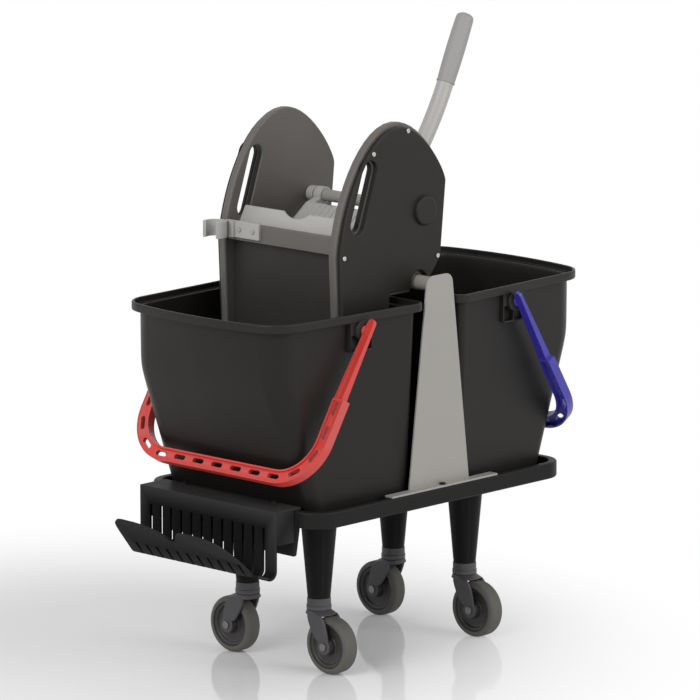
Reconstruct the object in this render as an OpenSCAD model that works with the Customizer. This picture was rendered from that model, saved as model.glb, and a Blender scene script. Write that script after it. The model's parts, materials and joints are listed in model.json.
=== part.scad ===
// Double mop bucket trolley: a tray on four castor legs, two buckets with carry handles,
// a lever wringer hung on a cross bar, and a slotted rack at the front end.
// The front (rack end) is -X, the right side is -Y, and the floor is at Z = 0.

/* [Tray] */
// Length of the tray
tray_l = 514; // [480:1:560]
// Width of the tray over its rim
tray_w = 344; // [335:1:380]
// Corner radius of the tray
tray_r = 40; // [30:1:50]
// Height of the rim's top edge above the floor
tray_top = 253; // [245:1:265]
// Height of the rim band
tray_band = 23; // [20:1:27]
// Width of the rim's top edge
tray_rim = 12; // [9:1:13]
// Thickness of the tray floor
tray_floor = 6; // [4:0.5:8]
// Depth of the recess that holds the buckets
tray_recess = 13; // [10:0.5:14]
// Depth of the front apron below the rim band
apron_drop = 42; // [30:1:46]
// Width of the front apron at its lower edge
apron_w = 250; // [200:1:254]

/* [Castors] */
// Distance between the castor legs along the tray
leg_base = 300; // [270:1:330]
// Distance between the castor legs across the tray
leg_track = 140; // [130:1:170]
// Diameter of a leg where it meets the tray
leg_top_d = 54; // [46:1:58]
// Diameter of a leg at its lower end
leg_end_d = 32; // [28:1:34]
// Height of the lower end of the legs
leg_end = 105; // [102:1:112]
// Diameter of the swivel collar
collar_d = 35; // [32:1:38]
// Height of the swivel joint
swivel_z = 88; // [86:1:92]
// Diameter of the king pin
king_d = 12; // [8:0.5:14]
// Wheel diameter
wheel_d = 80; // [72:1:82]
// Tyre width
tyre_w = 25; // [20:0.5:27]
// Diameter of the hub inside the tyre
hub_d = 64; // [56:1:66]
// Distance of the wheel's axle behind the swivel
trail = 25; // [18:0.5:28]
// Axle diameter
axle_d = 8; // [6:0.5:10]
// Thickness of a fork arm
fork_t = 4; // [3:0.5:5]

/* [Frame] */
// Height of the top of the uprights
upright_top = 552; // [540:1:580]
// Width of an upright at its foot
upright_foot_w = 123; // [100:1:130]
// Width of an upright at its top
upright_head_w = 50; // [40:1:56]
// Sheet thickness of the uprights
upright_t = 3; // [2:0.5:4]
// Distance over the outer faces of the uprights
upright_span = 318; // [316:1:324]
// Length of the foot flange
flange_l = 216; // [160:1:230]
// Width of the foot flange outside the upright
flange_w = 12; // [9:0.5:12.5]
// Diameter of the cross bar
bar_d = 20; // [16:1:22]
// Height of the cross bar
bar_z = 537; // [534:1:540]

/* [Rack] */
// Width of the rack
rack_w = 264; // [240:1:280]
// Distance from the tray's end to the rack's front face
rack_reach = 38; // [28:1:45]
// Distance of the rack's middle to the left of the tray's middle
rack_y = 5; // [0:1:12]
// Height of the rack's front plate
rack_h = 95; // [84:1:104]
// Height of the rack's two end plates
rack_end_h = 48; // [30:1:60]
// Sheet thickness of the rack
rack_t = 4; // [3:0.5:5]
// Inside radius of the bend under the front plate
rack_bend_r = 8; // [6:0.5:11]
// Greatest length of the sloping lip
lip_l = 66; // [56:1:70]
// Number of slots
slot_count = 12; // [8:1:13]
// Distance between slots
slot_pitch = 20; // [18:0.5:21]
// Width of a slot
slot_w = 4.4; // [3:0.2:6]
// Length of the slots in the front plate
slot_l = 58; // [30:1:62]
// Length of the slots in the lip
slot_lip = 22; // [10:1:28]

/* [Buckets] */
// Height of a bucket's rim
bucket_top = 519; // [516:0.5:520]
// Distance between the rims of the two buckets
bucket_gap = 68; // [66:1:74]
// Length of a bucket over its rim, without the bulge of its outer end
bucket_l = 287; // [275:1:300]
// Width over the rim at the inner end
bucket_w_in = 334; // [330:1:336]
// Width over the rim at the outer end
bucket_w_out = 308; // [304:1:312]
// Height of the rim band
rim_h = 12; // [9:1:15]
// How far the rim stands out from the wall
rim_out = 10; // [7:0.5:11]
// Wall thickness of a bucket
bucket_wall = 4; // [3:0.5:5]
// Corner radius of the rim at the outer end
rim_r = 50; // [40:1:60]
// Corner radius of the rim at the inner end
rim_r_in = 18; // [16:1:30]
// How far the outer end slopes in from the rim to the floor
bucket_slope = 80; // [70:1:85]
// Height above the floor of the knee in the outer end
knee_z = 427; // [415:1:440]

/* [Handles] */
// Distance of the handle pivots from the cross bar
pivot_x = 155.5; // [150:0.5:160]
// Height of the handle pivots
pivot_z = 495; // [490:0.5:497]
// Distance between the arms of a handle, centre to centre
bail_w = 341; // [340:1:344]
// Length of a handle from its pivot to the middle of its grip
bail_l = 229; // [225:1:236]
// Corner radius of a handle along its middle line
bail_r = 62; // [50:1:70]
// Width of a handle's arm at its pivot
arm_w = 12; // [9:0.5:13]
// Width of a handle's arm where it meets the grip
arm_step_w = 18; // [14:0.5:19]
// Thickness of a handle's arm
arm_t = 5; // [4:0.5:7]
// Distance from the pivot to the step where the grip starts
arm_l = 104; // [95:1:110]
// How far an arm reaches past its pivot
arm_top = 17; // [12:0.5:18]
// Width of the grip
grip_w = 20; // [18:1:22]
// Thickness of the grip
grip_t = 14; // [11:0.5:15]
// Width of the raised edges of the grip
grip_edge_w = 2.5; // [2:0.25:3.5]
// Depth of the shallow channel on the grip's outer face
grip_edge_h = 2; // [1:0.25:3]
// Thickness of the slotted web of the grip
web_t = 5; // [3:0.5:6]
// Resting angle of a handle from straight down
bail_rest = 31.5; // [31:0.5:38]
// Diameter of the handle's pivot pins
bail_pin_d = 10; // [7:0.5:11]
// Number of grip slots on each side of the middle one
grip_slots = 7; // [5:1:7]
// Distance between the grip slots along the middle line
grip_pitch = 36.3; // [30:0.1:36.5]
// Length of a grip slot
grip_slot_l = 21; // [15:0.5:22]
// Width of a grip slot
grip_slot_w = 7; // [5:0.5:9]

/* [Wringer] */
// Width of the wringer over its covers
wringer_w = 240; // [230:1:244]
// Thickness of a side plate with its cover
side_t = 20; // [16:0.5:22]
// Thickness of a cover
cover_t = 8; // [6:0.5:9]
// Wall thickness of the side plates
side_wall = 4; // [3:0.5:5]
// Length of the side plates to the front of the cross bar
side_reach = 163; // [160:1:168]
// Height of the top of the side plates
side_top = 765; // [755:1:775]
// Height of the lower edge of the side plates inside the bucket
side_low = 440; // [425:1:460]
// Width of the hand slots
hand_slot_w = 24; // [18:1:26]
// Position of the shaft behind the cross bar
shaft_x = 10; // [6:0.5:14]
// Height of the shaft
shaft_z = 637; // [632:0.5:642]
// Shaft diameter
shaft_d = 17; // [14:0.5:20]
// Diameter of the shaft caps
cap_d = 42; // [36:1:46]
// How far the shaft caps stand out
cap_h = 6; // [5:0.5:10]
// Height of the top of the front rail
rail_top = 616; // [610:1:622]
// Height of the front rail
rail_h = 24; // [18:1:28]
// Distance of the basket wall in front of the cross bar
basket_x = 138; // [134:1:140]
// Height of the top of the basket wall
basket_top = 635; // [628:1:645]
// Height of the basket floor
basket_floor = 474; // [468:1:480]
// Distance of the open press plate in front of the step in the side plates
press_back = 4; // [3:0.5:6]
// Thickness of the press plate
press_t = 7; // [5:0.5:8]
// Number of ribs on the press plate
press_ribs = 15; // [9:2:17]

/* [Lever] */
// Diameter of the lever tube
lever_d = 24; // [20:0.5:25]
// Distance of the lever from the inner face of the right side plate
lever_y = 43; // [43:1:48]
// Length of the lower part of the lever
lever_low = 143; // [120:1:160]
// Angle of the lower part of the lever from upright
lever_low_a = 38; // [34:0.5:42]
// Length of the upper part of the lever
lever_up = 157; // [135:1:172]
// Angle of the upper part of the lever from upright
lever_up_a = 24.5; // [20:0.5:30]
// Grip diameter
lever_grip_d = 27.5; // [26:0.5:30]
// Grip length
lever_grip_l = 104; // [90:1:115]

/* [Clip] */
// Inside diameter of the mop clip
clip_d = 25; // [20:0.5:27]
// Wall of the mop clip
clip_t = 4.5; // [3:0.5:5]
// Height of the mop clip
clip_h = 23; // [18:1:24]
// Opening of the mop clip, in degrees
clip_open = 100; // [80:1:120]

/* [Fits] */
// Radial clearance of shafts and pins that turn
run_gap = 0.06; // [0.04:0.01:0.08]
// Gap between parts that pass each other
part_gap = 0.4; // [0.3:0.1:0.8]

/* [Hidden] */
CORNERS = ["front_right", "front_left", "rear_right", "rear_left"];
ENDS = ["front", "rear"];
SIDES = ["right", "left"];
$fn = 48;

BLACK = [0.17, 0.17, 0.16];
DARK = [0.24, 0.23, 0.23];
GREY = [0.63, 0.62, 0.60];
LIGHT = [0.74, 0.73, 0.72];
CASTOR = [0.32, 0.31, 0.32];
TYRE = [0.40, 0.39, 0.37];
RED = [0.80, 0.22, 0.19];
BLUE = [0.25, 0.22, 0.64];

// Heights of the tray's levels
tray_low = tray_top - tray_band;
floor_top = tray_top - tray_recess;
floor_low = floor_top - tray_floor;
skirt_t = tray_rim / 2;
leg_spigot_d = 20;
leg_spigot_h = 6;
leg_seat_d = leg_top_d + 6;
bolt_d = 6;
bolt_head_d = 13;
bolt_head_h = 2;
bolt_l = 30;
hole_gap = 0.2;

flange_mid = (upright_span + flange_w) / 2;

// Castor sizes that follow from the driving ones
wheel_r = wheel_d / 2;
fork_in = tyre_w / 2 + 1.5;
fork_out = fork_in + fork_t;
fork_crown = swivel_z - wheel_d - 1.5;
fork_tip_r = axle_d / 2 + 6;
king_l = leg_end - swivel_z - 4;
axle_head_r = axle_d / 2 + 1.5;
axle_head_h = 2;
hub_w = tyre_w - 5;
swivel_gap = 0.3;

// Bucket levels: height, inner end, outer end and half-widths of the outer surface
bucket_low = floor_top;
rim_in_x = bucket_gap / 2;
rim_out_x = rim_in_x + bucket_l;
rim_bulge = 10;
wall_r_top = rim_r - rim_out / 2;
wall_r_low = rim_r / 3;
wall_r_in = rim_r_in - 6;
wall_in_x = rim_in_x + rim_out;
wall_out_x = rim_out_x - rim_out;
band_low = bucket_top - rim_h;

// The handle lugs reach from the middle of the bucket's wall to just inside the handle's arms
lug_gap = 2.5;
lug_out = bail_w / 2 - arm_w / 2 - lug_gap;
lug_in = bucket_w_in / 2 - rim_out - bucket_wall / 2
    - (bucket_w_in - bucket_w_out) / 2 * (pivot_x - wall_in_x) / (wall_out_x - wall_in_x);
pin_bottom = lug_in + 3.5;

// The whole trolley is moved along X so that its middle is at the origin
lip_a = 52;
rack_face = tray_l / 2 + rack_reach;
bend_mid = rack_bend_r + rack_t / 2;
bend_x = rack_face + rack_bend_r;
rack_top = tray_top + rack_t;
bend_z = rack_top - rack_h + rack_bend_r + rack_t;
lip_x = bend_x + bend_mid * cos(lip_a);
lip_z = bend_z - bend_mid * sin(lip_a);
front_tip = lip_x + lip_l * cos(lip_a) + rack_t / 2 * sin(lip_a);
rear_tip = rim_out_x + rim_bulge;
shift_x = (front_tip - rear_tip) / 2;

// Wringer levels
side_out = wringer_w / 2 - cover_t;
side_in = wringer_w / 2 - side_t;
notch_r = bar_d / 2 + part_gap;
hook_low = bucket_top + 4;
rear_step = rim_in_x + rim_out + bucket_wall + 6;
press_x = rear_step + press_back;
hand_slot = [[-99, side_top - 60], [-124, side_top - 133]];
rivet_spots = [[-24, side_top - 13], [-93, side_top - 38], [-side_reach + 11.5, 589], [37, 570]];
rivet_r = 3.3;
rivet_h = 1.3;
rivet_shank_r = 1.8;
rivet_l = 8;
boss_wall = 6;
cover_inset = 4.5;
basket_t = 4;
panel_t = 2;

// Helpers for outlines
function arc(c, r, a0, a1, n) =
    [for (i = [0 : n]) let (a = a0 + (a1 - a0) * i / n) c + r * [cos(a), sin(a)]];
function bezier(p0, p1, p2, p3, n) =
    [for (i = [0 : n]) let (t = i / n, s = 1 - t)
        s * s * s * p0 + 3 * s * s * t * p1 + 3 * s * t * t * p2 + t * t * t * p3];
function unit(v) = v / norm(v);
function left_of(v) = [-v[1], v[0]];
// Moves every side of a closed outline inwards; the outline runs anticlockwise
function inset(p, d) =
    let (n = len(p))
    [for (i = [0 : n - 1])
        let (a = left_of(unit(p[i] - p[(i + n - 1) % n])),
             b = left_of(unit(p[(i + 1) % n] - p[i])),
             m = unit(a + b))
        p[i] + m * d / max(0.35, m * a)];
// Drops points that repeat the one before
function tidy(p) =
    [for (i = [0 : len(p) - 1]) if (norm(p[i] - p[(i + 1) % len(p)]) > 0.01) p[i]];

module placed() translate([shift_x, 0, 0]) children();

// Stands a drawing in X and Z upright, with its thickness along +Y
module standing(y0, t) translate([0, y0 + t, 0]) rotate([90, 0, 0]) linear_extrude(t) children();

module mirrored_side(i) {
    if (i == 0) children();
    else mirror([0, 1, 0]) children();
}

module mirrored_end(i) {
    if (i == 0) mirror([1, 0, 0]) children();
    else children();
}

module along_y(x, z, y0, y1, r) translate([x, y1, z]) rotate([90, 0, 0]) cylinder(h = y1 - y0, r = r);

module along_x(y, z, x0, x1, r) translate([x0, y, z]) rotate([0, 90, 0]) cylinder(h = x1 - x0, r = r);

module rounded_plate(l, w, r, h) {
    linear_extrude(h) {
        square([l - 2 * r, w], center = true);
        square([l, w - 2 * r], center = true);
        for (x = [-1, 1], y = [-1, 1])
            translate([x * (l / 2 - r), y * (w / 2 - r)]) circle(r);
    }
}

// Leg places, in the order of CORNERS
function leg_at(i) = [(i < 2 ? -1 : 1) * leg_base / 2, (i % 2 == 0 ? -1 : 1) * leg_track / 2, 0];

module at_leg(i) placed() translate(leg_at(i)) rotate([0, 0, i % 2 == 0 ? 0 : 180]) children();

module tray() {
    color(BLACK) placed() difference() {
        union() {
            translate([0, 0, tray_low]) rounded_plate(tray_l, tray_w, tray_r, tray_band);
            front_apron();
        }
        translate([0, 0, floor_top])
            rounded_plate(tray_l - 2 * tray_rim, tray_w - 2 * tray_rim, tray_r - tray_rim, tray_band);
        difference() {
            translate([0, 0, tray_low - 1])
                rounded_plate(tray_l - 2 * skirt_t, tray_w - 2 * skirt_t, tray_r - skirt_t,
                              floor_low - tray_low + 1);
            for (i = [0 : 3])
                translate(leg_at(i) + [0, 0, tray_low - 2]) cylinder(h = tray_band, d = leg_seat_d);
            for (y = [-1, 1])
                translate([0, y * leg_track / 2, floor_low - 1])
                    cube([tray_l, skirt_t, 2 * (floor_low - tray_low)], center = true);
        }
        for (i = [0 : 3]) translate(leg_at(i)) {
            translate([0, 0, tray_low - 1]) cylinder(h = leg_spigot_h + 1, d = leg_spigot_d + hole_gap);
            translate([0, 0, tray_low]) cylinder(h = tray_band, d = bolt_d + hole_gap);
            translate([0, 0, floor_top - bolt_head_h]) cylinder(h = tray_band, d = bolt_head_d + hole_gap);
        }
    }
}

module front_apron() {
    flat = tray_w / 2 - tray_r;
    translate([-tray_l / 2, 0, 0]) rotate([90, 0, 90]) linear_extrude(skirt_t)
        polygon([[-flat, tray_low + 1], [-flat, tray_low], [-apron_w / 2, tray_low - apron_drop],
                 [apron_w / 2, tray_low - apron_drop], [flat, tray_low], [flat, tray_low + 1]]);
}

module leg_bolts() {
    color(GREY) for (i = [0 : 3]) at_leg(i) {
        translate([0, 0, floor_top - bolt_head_h]) cylinder(h = bolt_head_h, d = bolt_head_d);
        translate([0, 0, floor_top - bolt_l]) cylinder(h = bolt_l - bolt_head_h / 2, d = bolt_d);
    }
}

module leg(i) {
    color(DARK) at_leg(i) difference() {
        union() {
            translate([0, 0, leg_end]) cylinder(h = tray_low - leg_end, d1 = leg_end_d, d2 = leg_top_d);
            translate([0, 0, tray_low - 1]) cylinder(h = leg_spigot_h + 1, d = leg_spigot_d);
        }
        translate([0, 0, floor_top - bolt_l - 1]) cylinder(h = bolt_l, d = bolt_d + hole_gap);
    }
}

module castor_collar(i) {
    color(CASTOR) at_leg(i) difference() {
        union() {
            translate([0, 0, swivel_z + swivel_gap]) cylinder(h = 6, d = collar_d);
            translate([0, 0, swivel_z + 6]) cylinder(h = leg_end - swivel_z - 6, d = collar_d - 1.5);
        }
        translate([0, 0, swivel_z - 1]) cylinder(h = king_l + 2, r = king_d / 2 + run_gap);
    }
}

// Outline of a fork arm, drawn in Y and Z: a blade from the crown down to the axle
module fork_blade() {
    axle = [-trail, wheel_r];
    union() {
        translate(axle) circle(fork_tip_r);
        polygon(concat(
            [[collar_d / 2, swivel_z], [-collar_d / 2, swivel_z]],
            bezier([-collar_d / 2, swivel_z - 6], [-collar_d / 2, swivel_z - 24],
                   axle + [-fork_tip_r, 16], axle + [-fork_tip_r, 0], 8),
            bezier(axle + [fork_tip_r, 0], axle + [fork_tip_r, 18],
                   [collar_d / 2 - 8, swivel_z - 22], [collar_d / 2, swivel_z - 6], 8)));
    }
}

module castor_fork(i) {
    color(CASTOR) at_leg(i) difference() {
        union() {
            for (x = [-fork_out, fork_in])
                translate([x, 0, 0]) rotate([90, 0, 90]) linear_extrude(fork_t) fork_blade();
            translate([0, 0, swivel_z - fork_crown]) cylinder(h = fork_crown, d = collar_d);
            translate([-fork_out, -collar_d / 2, swivel_z - fork_crown])
                cube([2 * fork_out, collar_d, fork_crown]);
            translate([0, 0, swivel_z - 1]) cylinder(h = king_l + 1, d = king_d);
        }
        along_x(-trail, wheel_r, -fork_out - 1, fork_out + 1, axle_d / 2 + hole_gap / 4);
    }
}

module axle(i) {
    color(GREY) at_leg(i) {
        along_x(-trail, wheel_r, -fork_out - axle_head_h / 2, fork_out + axle_head_h / 2, axle_d / 2);
        for (x = [-fork_out - axle_head_h, fork_out])
            along_x(-trail, wheel_r, x, x + axle_head_h, axle_head_r);
    }
}

// Turns a wheel profile, drawn as radius and width, about the axle
module wheel_turned(i)
    at_leg(i) translate([0, -trail, wheel_r]) rotate([0, 90, 0]) rotate_extrude($fn = 64) children();

module wheel_hub(i) {
    bore = axle_d / 2 + run_gap;
    boss = axle_d / 2 + 7;
    rim = hub_d / 2 - 7;
    color(DARK) wheel_turned(i) polygon([
        [bore, -fork_in + 0.5], [boss, -fork_in + 0.5], [boss + 2, -hub_w / 2 + 4], [rim, -hub_w / 2 + 4],
        [rim + 3, -hub_w / 2], [hub_d / 2 - hole_gap / 2, -hub_w / 2],
        [hub_d / 2 - hole_gap / 2, hub_w / 2], [rim + 3, hub_w / 2],
        [rim, hub_w / 2 - 4], [boss + 2, hub_w / 2 - 4], [boss, fork_in - 0.5], [bore, fork_in - 0.5]]);
}

module tyre(i) {
    edge = 6;
    color(TYRE) wheel_turned(i) polygon(concat(
        [[hub_d / 2, tyre_w / 2], [hub_d / 2, -tyre_w / 2]],
        arc([wheel_r - edge, -tyre_w / 2 + edge], edge, -90, 0, 6),
        arc([wheel_r - edge, tyre_w / 2 - edge], edge, 0, 90, 6)));
}

module upright(s) {
    head_r = 13;
    foot = tray_top;
    half_foot = upright_foot_w / 2;
    half_head = upright_head_w / 2;
    lean = atan((half_foot - half_head) / (upright_top - foot));
    head_z = upright_top - head_r;
    head_x = half_head - head_r / cos(lean) + head_r * tan(lean);
    color(GREY) placed() mirrored_side(s) {
        standing(-upright_span / 2, upright_t) polygon(concat(
            [[-half_foot, foot], [half_foot, foot]],
            arc([head_x, head_z], head_r, lean, 90, 6),
            arc([-head_x, head_z], head_r, 90, 180 - lean, 6)));
        difference() {
            translate([-flange_l / 2, -upright_span / 2 - flange_w, foot])
                cube([flange_l, flange_w + upright_t, upright_t]);
            translate([0, -flange_mid, foot - 1])
                cylinder(h = upright_t + 2, d = bolt_d + hole_gap);
        }
    }
}

module upright_screws() {
    color(GREY) placed() for (y = [-1, 1]) translate([0, y * flange_mid, tray_top]) {
        translate([0, 0, upright_t]) cylinder(h = 2.4, d1 = bolt_d + 4, d2 = bolt_d + 2);
        cylinder(h = upright_t + 1, d = bolt_d);
    }
}

module cross_bar() {
    half = upright_span / 2 - upright_t;
    color(GREY) placed() along_y(0, bar_z, -half, half, bar_d / 2);
}

rack_screw_y = [rack_y - rack_w / 3, rack_y + rack_w / 3];

function slot_y(i) = rack_y + (i - (slot_count - 1) / 2) * slot_pitch;

// Length of the lip at a distance across the rack, as a share of its greatest length
function lip_shape() = concat(
    bezier([rack_w / 2, 0.66], [rack_w / 2, 0.95], [rack_w * 0.47, 1], [rack_w * 0.43, 1], 5),
    bezier([rack_w * 0.43, 1], [rack_w * 0.14, 1], [rack_w * 0.16, 0.66], [rack_w * 0.09, 0.66], 8),
    bezier([rack_w * 0.09, 0.66], [rack_w * 0.05, 0.66], [rack_w * 0.06, 0.93], [0, 0.95], 6),
    bezier([0, 0.95], [-rack_w * 0.26, 1], [-rack_w * 0.32, 0.75], [-rack_w * 0.4, 0], 10));

// Section of the bent sheet in X and Z: flange, front plate, bend and lip
function rack_section() =
    let (turn = -90 - lip_a,
         bend = [-bend_x, bend_z],
         slope = lip_l * [-cos(lip_a), sin(lip_a)],
         rear = rack_reach + tray_rim - rack_face,
         r_out = rack_bend_r + rack_t)
    concat(
        [[rear, rack_top], [-rack_face, rack_top]],
        arc(bend, rack_bend_r, 0, turn, 10),
        [for (r = [rack_bend_r, r_out]) bend + r * [cos(turn), sin(turn)] + slope],
        arc(bend, r_out, turn, 0, 10),
        [[rack_t - rack_face, rack_top - rack_t], [rear, rack_top - rack_t]]);

// Cuts one slot from the front plate round the bend and up into the lip
function slot_section() =
    let (foot = bend_z - rack_bend_r - 2 * rack_t,
         end = [-lip_x, lip_z] + slot_lip * [-cos(lip_a), sin(lip_a)],
         across = rack_t * [sin(lip_a), cos(lip_a)])
    [[1 + rack_t - rack_face, bend_z + slot_l], [-1 - rack_face, bend_z + slot_l],
     [-1 - rack_face, bend_z], end + across, end - across, [end[0], foot], [1 + rack_t - rack_face, foot]];

module rack() {
    color(BLACK) placed() difference() {
        union() {
            standing(rack_y - rack_w / 2, rack_w) polygon(rack_section());
            for (s = [0, 1]) rack_end(rack_y - rack_w / 2 + s * (rack_w - rack_t));
        }
        translate([-lip_x, rack_y, lip_z]) rotate([0, lip_a - 180, 0])
            translate([0, 0, -2 * rack_t]) linear_extrude(4 * rack_t) beyond_lip();
        for (i = [0 : slot_count - 1])
            standing(slot_y(i) - slot_w / 2, slot_w) polygon(slot_section());
        for (y = rack_screw_y) translate([-tray_l / 2 + tray_rim / 2, y, rack_top - rack_t - 1])
            cylinder(h = rack_t + 2, d = bolt_d + hole_gap);
    }
}

// Closes one end of the rack between its front plate, its flange and the tray
module rack_end(y) {
    front = rack_t / 2 - rack_face;
    rear = -tray_l / 2 - part_gap;
    top = rack_top - rack_t / 2;
    low = rack_top - rack_end_h;
    standing(y, rack_t) polygon([[front, low], [rear, low], [rear, top], [front, top]]);
}

// What is cut off above the wavy edge, drawn flat with the slope of the lip along +X
module beyond_lip() {
    far = lip_l + 2 * rack_t;
    edge = rack_w / 2 + 1;
    polygon(tidy(concat(
        [[far, -edge], [far, edge], [lip_shape()[0][1] * lip_l, edge]],
        [for (p = lip_shape()) [p[1] * lip_l, p[0]]],
        [[0, -edge]])));
}

module rack_screws() {
    color(GREY) placed() for (y = rack_screw_y)
        translate([-tray_l / 2 + tray_rim / 2, y, rack_top - rack_t]) {
            translate([0, 0, rack_t]) cylinder(h = 2.4, d1 = bolt_d + 4, d2 = bolt_d + 2);
            cylinder(h = rack_t + 1, d = bolt_d);
        }
}

// Closed outline of a bucket at one level: a tapered rectangle with a bulged outer end
function bucket_ring(z, xi, xo, wi, wo, ri, ro, bulge) =
    let (flat = wo - ro,
         a = atan(2 * bulge / flat),
         end_x = xo + bulge,
         join_x = xo - ro * (1 - cos(a)),
         join_y = flat + ro * sin(a),
         p = concat(
        arc([xi + ri, ri - wi], ri, 180, 270, 6),
        arc([xo - ro, -flat], ro, 270, 360 - a, 8),
        [for (k = [-3 : 3]) [end_x - (end_x - join_x) * k * k / 16, k / 4 * join_y]],
        arc([xo - ro, flat], ro, a, 90, 8),
        arc([xi + ri, wi - ri], ri, 90, 180, 6)))
    [for (q = p) [q[0], q[1], z]];

// Outline of the wall at a height, drawn in by d: 0 for the outer surface
function wall_ring(z, d, z_at) =
    let (top_w_in = bucket_w_in / 2 - rim_out,
         top_w_out = bucket_w_out / 2 - rim_out,
         rise = (z - bucket_low) / (band_low - bucket_low),
         knee_x = wall_out_x - 5,
         foot_x = wall_out_x - bucket_slope,
         xo = z >= knee_z ? knee_x + (wall_out_x - knee_x) * (z - knee_z) / (band_low - knee_z)
            : foot_x + (knee_x - foot_x) * (z - bucket_low) / (knee_z - bucket_low))
    bucket_ring(z_at, wall_in_x + 5 * (1 - rise) + d, xo - d,
                top_w_in - 10 * (1 - rise) - d, top_w_out - 2 * (1 - rise) - d,
                wall_r_in - d, wall_r_low + (wall_r_top - wall_r_low) * rise - d, 9 * rise * rise);

function rim_ring(z, d) =
    bucket_ring(z, rim_in_x + d, rim_out_x - d, bucket_w_in / 2 - d, bucket_w_out / 2 - d,
                rim_r_in - d, rim_r - d, rim_bulge);

// Skins a stack of rings, each with the same number of points, and closes both ends
module skinned(rings) {
    n = len(rings[0]);
    m = len(rings);
    points = [for (r = rings) each r];
    sides = [for (j = [0 : m - 2], i = [0 : n - 1], half = [0, 1])
        let (a = j * n + i, b = j * n + (i + 1) % n, c = a + n, d = b + n)
        half == 0 ? [a, c, b] : [b, c, d]];
    polyhedron(points, concat([[for (i = [0 : n - 1]) i]], sides,
                              [[for (i = [n - 1 : -1 : 0]) (m - 1) * n + i]]));
}

module bucket(e) {
    inner_low = bucket_low + bucket_wall;
    top_in = rim_out + bucket_wall;
    lug_w = 44;
    lug_low = pivot_z - 30;
    color(BLACK) placed() mirrored_end(e) difference() {
        union() {
            skinned(concat(
                [wall_ring(bucket_low, 0, bucket_low), wall_ring(knee_z, 0, knee_z),
                 wall_ring(band_low, 0, band_low), rim_ring(band_low, 0), rim_ring(bucket_top - 2, 0),
                 rim_ring(bucket_top, 1.5), rim_ring(bucket_top, bucket_wall),
                 rim_ring(band_low + bucket_wall, bucket_wall), rim_ring(band_low + bucket_wall, top_in)],
                [wall_ring(band_low, bucket_wall, band_low), wall_ring(knee_z, bucket_wall, knee_z),
                 wall_ring(bucket_low, bucket_wall, inner_low)]));
            for (s = [0, 1]) mirrored_side(s)
                translate([pivot_x - lug_w / 2, lug_in, lug_low])
                    cube([lug_w, lug_out - lug_in, band_low - lug_low]);
        }
        for (s = [0, 1]) mirrored_side(s)
            along_y(pivot_x, pivot_z, pin_bottom, lug_out + 1, bail_pin_d / 2 + run_gap);
    }
}

// A handle lies flat here, with its pivots on Y = 0 and its grip towards +X
module bail(e) {
    half = bail_w / 2;
    pin_end = pin_bottom + part_gap;
    pin_root = half - arm_w / 2 + 1;
    color(e == 0 ? RED : BLUE) placed() mirrored_end(e) translate([pivot_x, 0, pivot_z])
        rotate([0, 90 - bail_rest, 0]) {
            for (s = [-1, 1]) {
                translate([0, s * half, -arm_t / 2]) linear_extrude(arm_t) arm_outline();
                along_y(0, 0, s > 0 ? pin_end : -pin_root, s > 0 ? pin_root : -pin_end, bail_pin_d / 2);
            }
            difference() {
                translate([0, 0, -grip_t / 2]) linear_extrude(grip_t) grip_outline(half, 0);
                translate([0, 0, grip_t / 2 - grip_edge_h]) linear_extrude(grip_t)
                    grip_outline(half, grip_edge_w);
                translate([0, 0, -grip_t]) linear_extrude(1.5 * grip_t - grip_edge_h - web_t)
                    grip_outline(half, grip_edge_w);
                translate([0, 0, -grip_t]) linear_extrude(2 * grip_t) grip_holes(half);
            }
        }
}

// A tapered arm with a round end behind its pivot
module arm_outline() {
    polygon(concat(arc([arm_w / 2 - arm_top, 0], arm_w / 2, 90, 270, 12),
                   [[arm_l + 1, -arm_step_w / 2], [arm_l + 1, arm_step_w / 2]]));
}

// The grip runs round three sides; d draws its edges in
module grip_outline(half, d) {
    turn = bail_l - bail_r;
    w = grip_w - 2 * d;
    for (s = [-1, 1]) {
        translate([arm_l + d, s * half - w / 2]) square([turn - arm_l - d, w]);
        translate([turn, s * (half - bail_r)]) intersection() {
            difference() {
                circle(bail_r + w / 2);
                circle(bail_r - w / 2);
            }
            translate([0, s > 0 ? 0 : -2 * bail_r]) square(2 * bail_r);
        }
    }
    translate([bail_l - w / 2, bail_r - half]) square([w, bail_w - 2 * bail_r]);
}

// Place and turn of a point on the grip's middle line, at a distance along it from its middle
function grip_place(half, along) =
    let (side = half - bail_r,
         bend = bail_r * PI / 2,
         turn = bail_l - bail_r,
         a = (along - side) / bail_r * 180 / PI)
    along <= side ? [bail_l, along, 90]
    : along <= side + bend ? [turn + bail_r * cos(a), side + bail_r * sin(a), 90 + a]
    : [turn - (along - side - bend), half, 180];

module grip_holes(half) {
    reach = (grip_slot_l - grip_slot_w) / 2;
    for (k = [-grip_slots : grip_slots])
        let (p = grip_place(half, abs(k) * grip_pitch), s = k < 0 ? -1 : 1)
        translate([p[0], s * p[1]]) rotate(s * p[2])
            capsule([-reach, 0], [reach, 0], grip_slot_w / 2);
}

// Outline of a side plate in X and Z, anticlockwise from its front lower corner
function side_outline() = tidy(concat(
    [[-side_reach + 7, side_low], [-rear_step, side_low], [-rear_step, hook_low], [-notch_r, hook_low]],
    arc([0, bar_z], notch_r, 180, 0, 10),
    [[notch_r, hook_low], [notch_r + 8, hook_low]],
    bezier([notch_r + 10, hook_low + 4], [notch_r + 14, hook_low + 18],
           [shaft_x + 35, shaft_z - 86], [shaft_x + 40, shaft_z - 62], 6),
    bezier([shaft_x + 50, shaft_z + 37], [shaft_x + 51, shaft_z + 53],
           [shaft_x + 1, side_top], [-40, side_top], 14),
    bezier([-40, side_top], [-108, side_top], [-side_reach + 6, side_top - 106],
           [-side_reach, side_top - 175], 14)));

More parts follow.
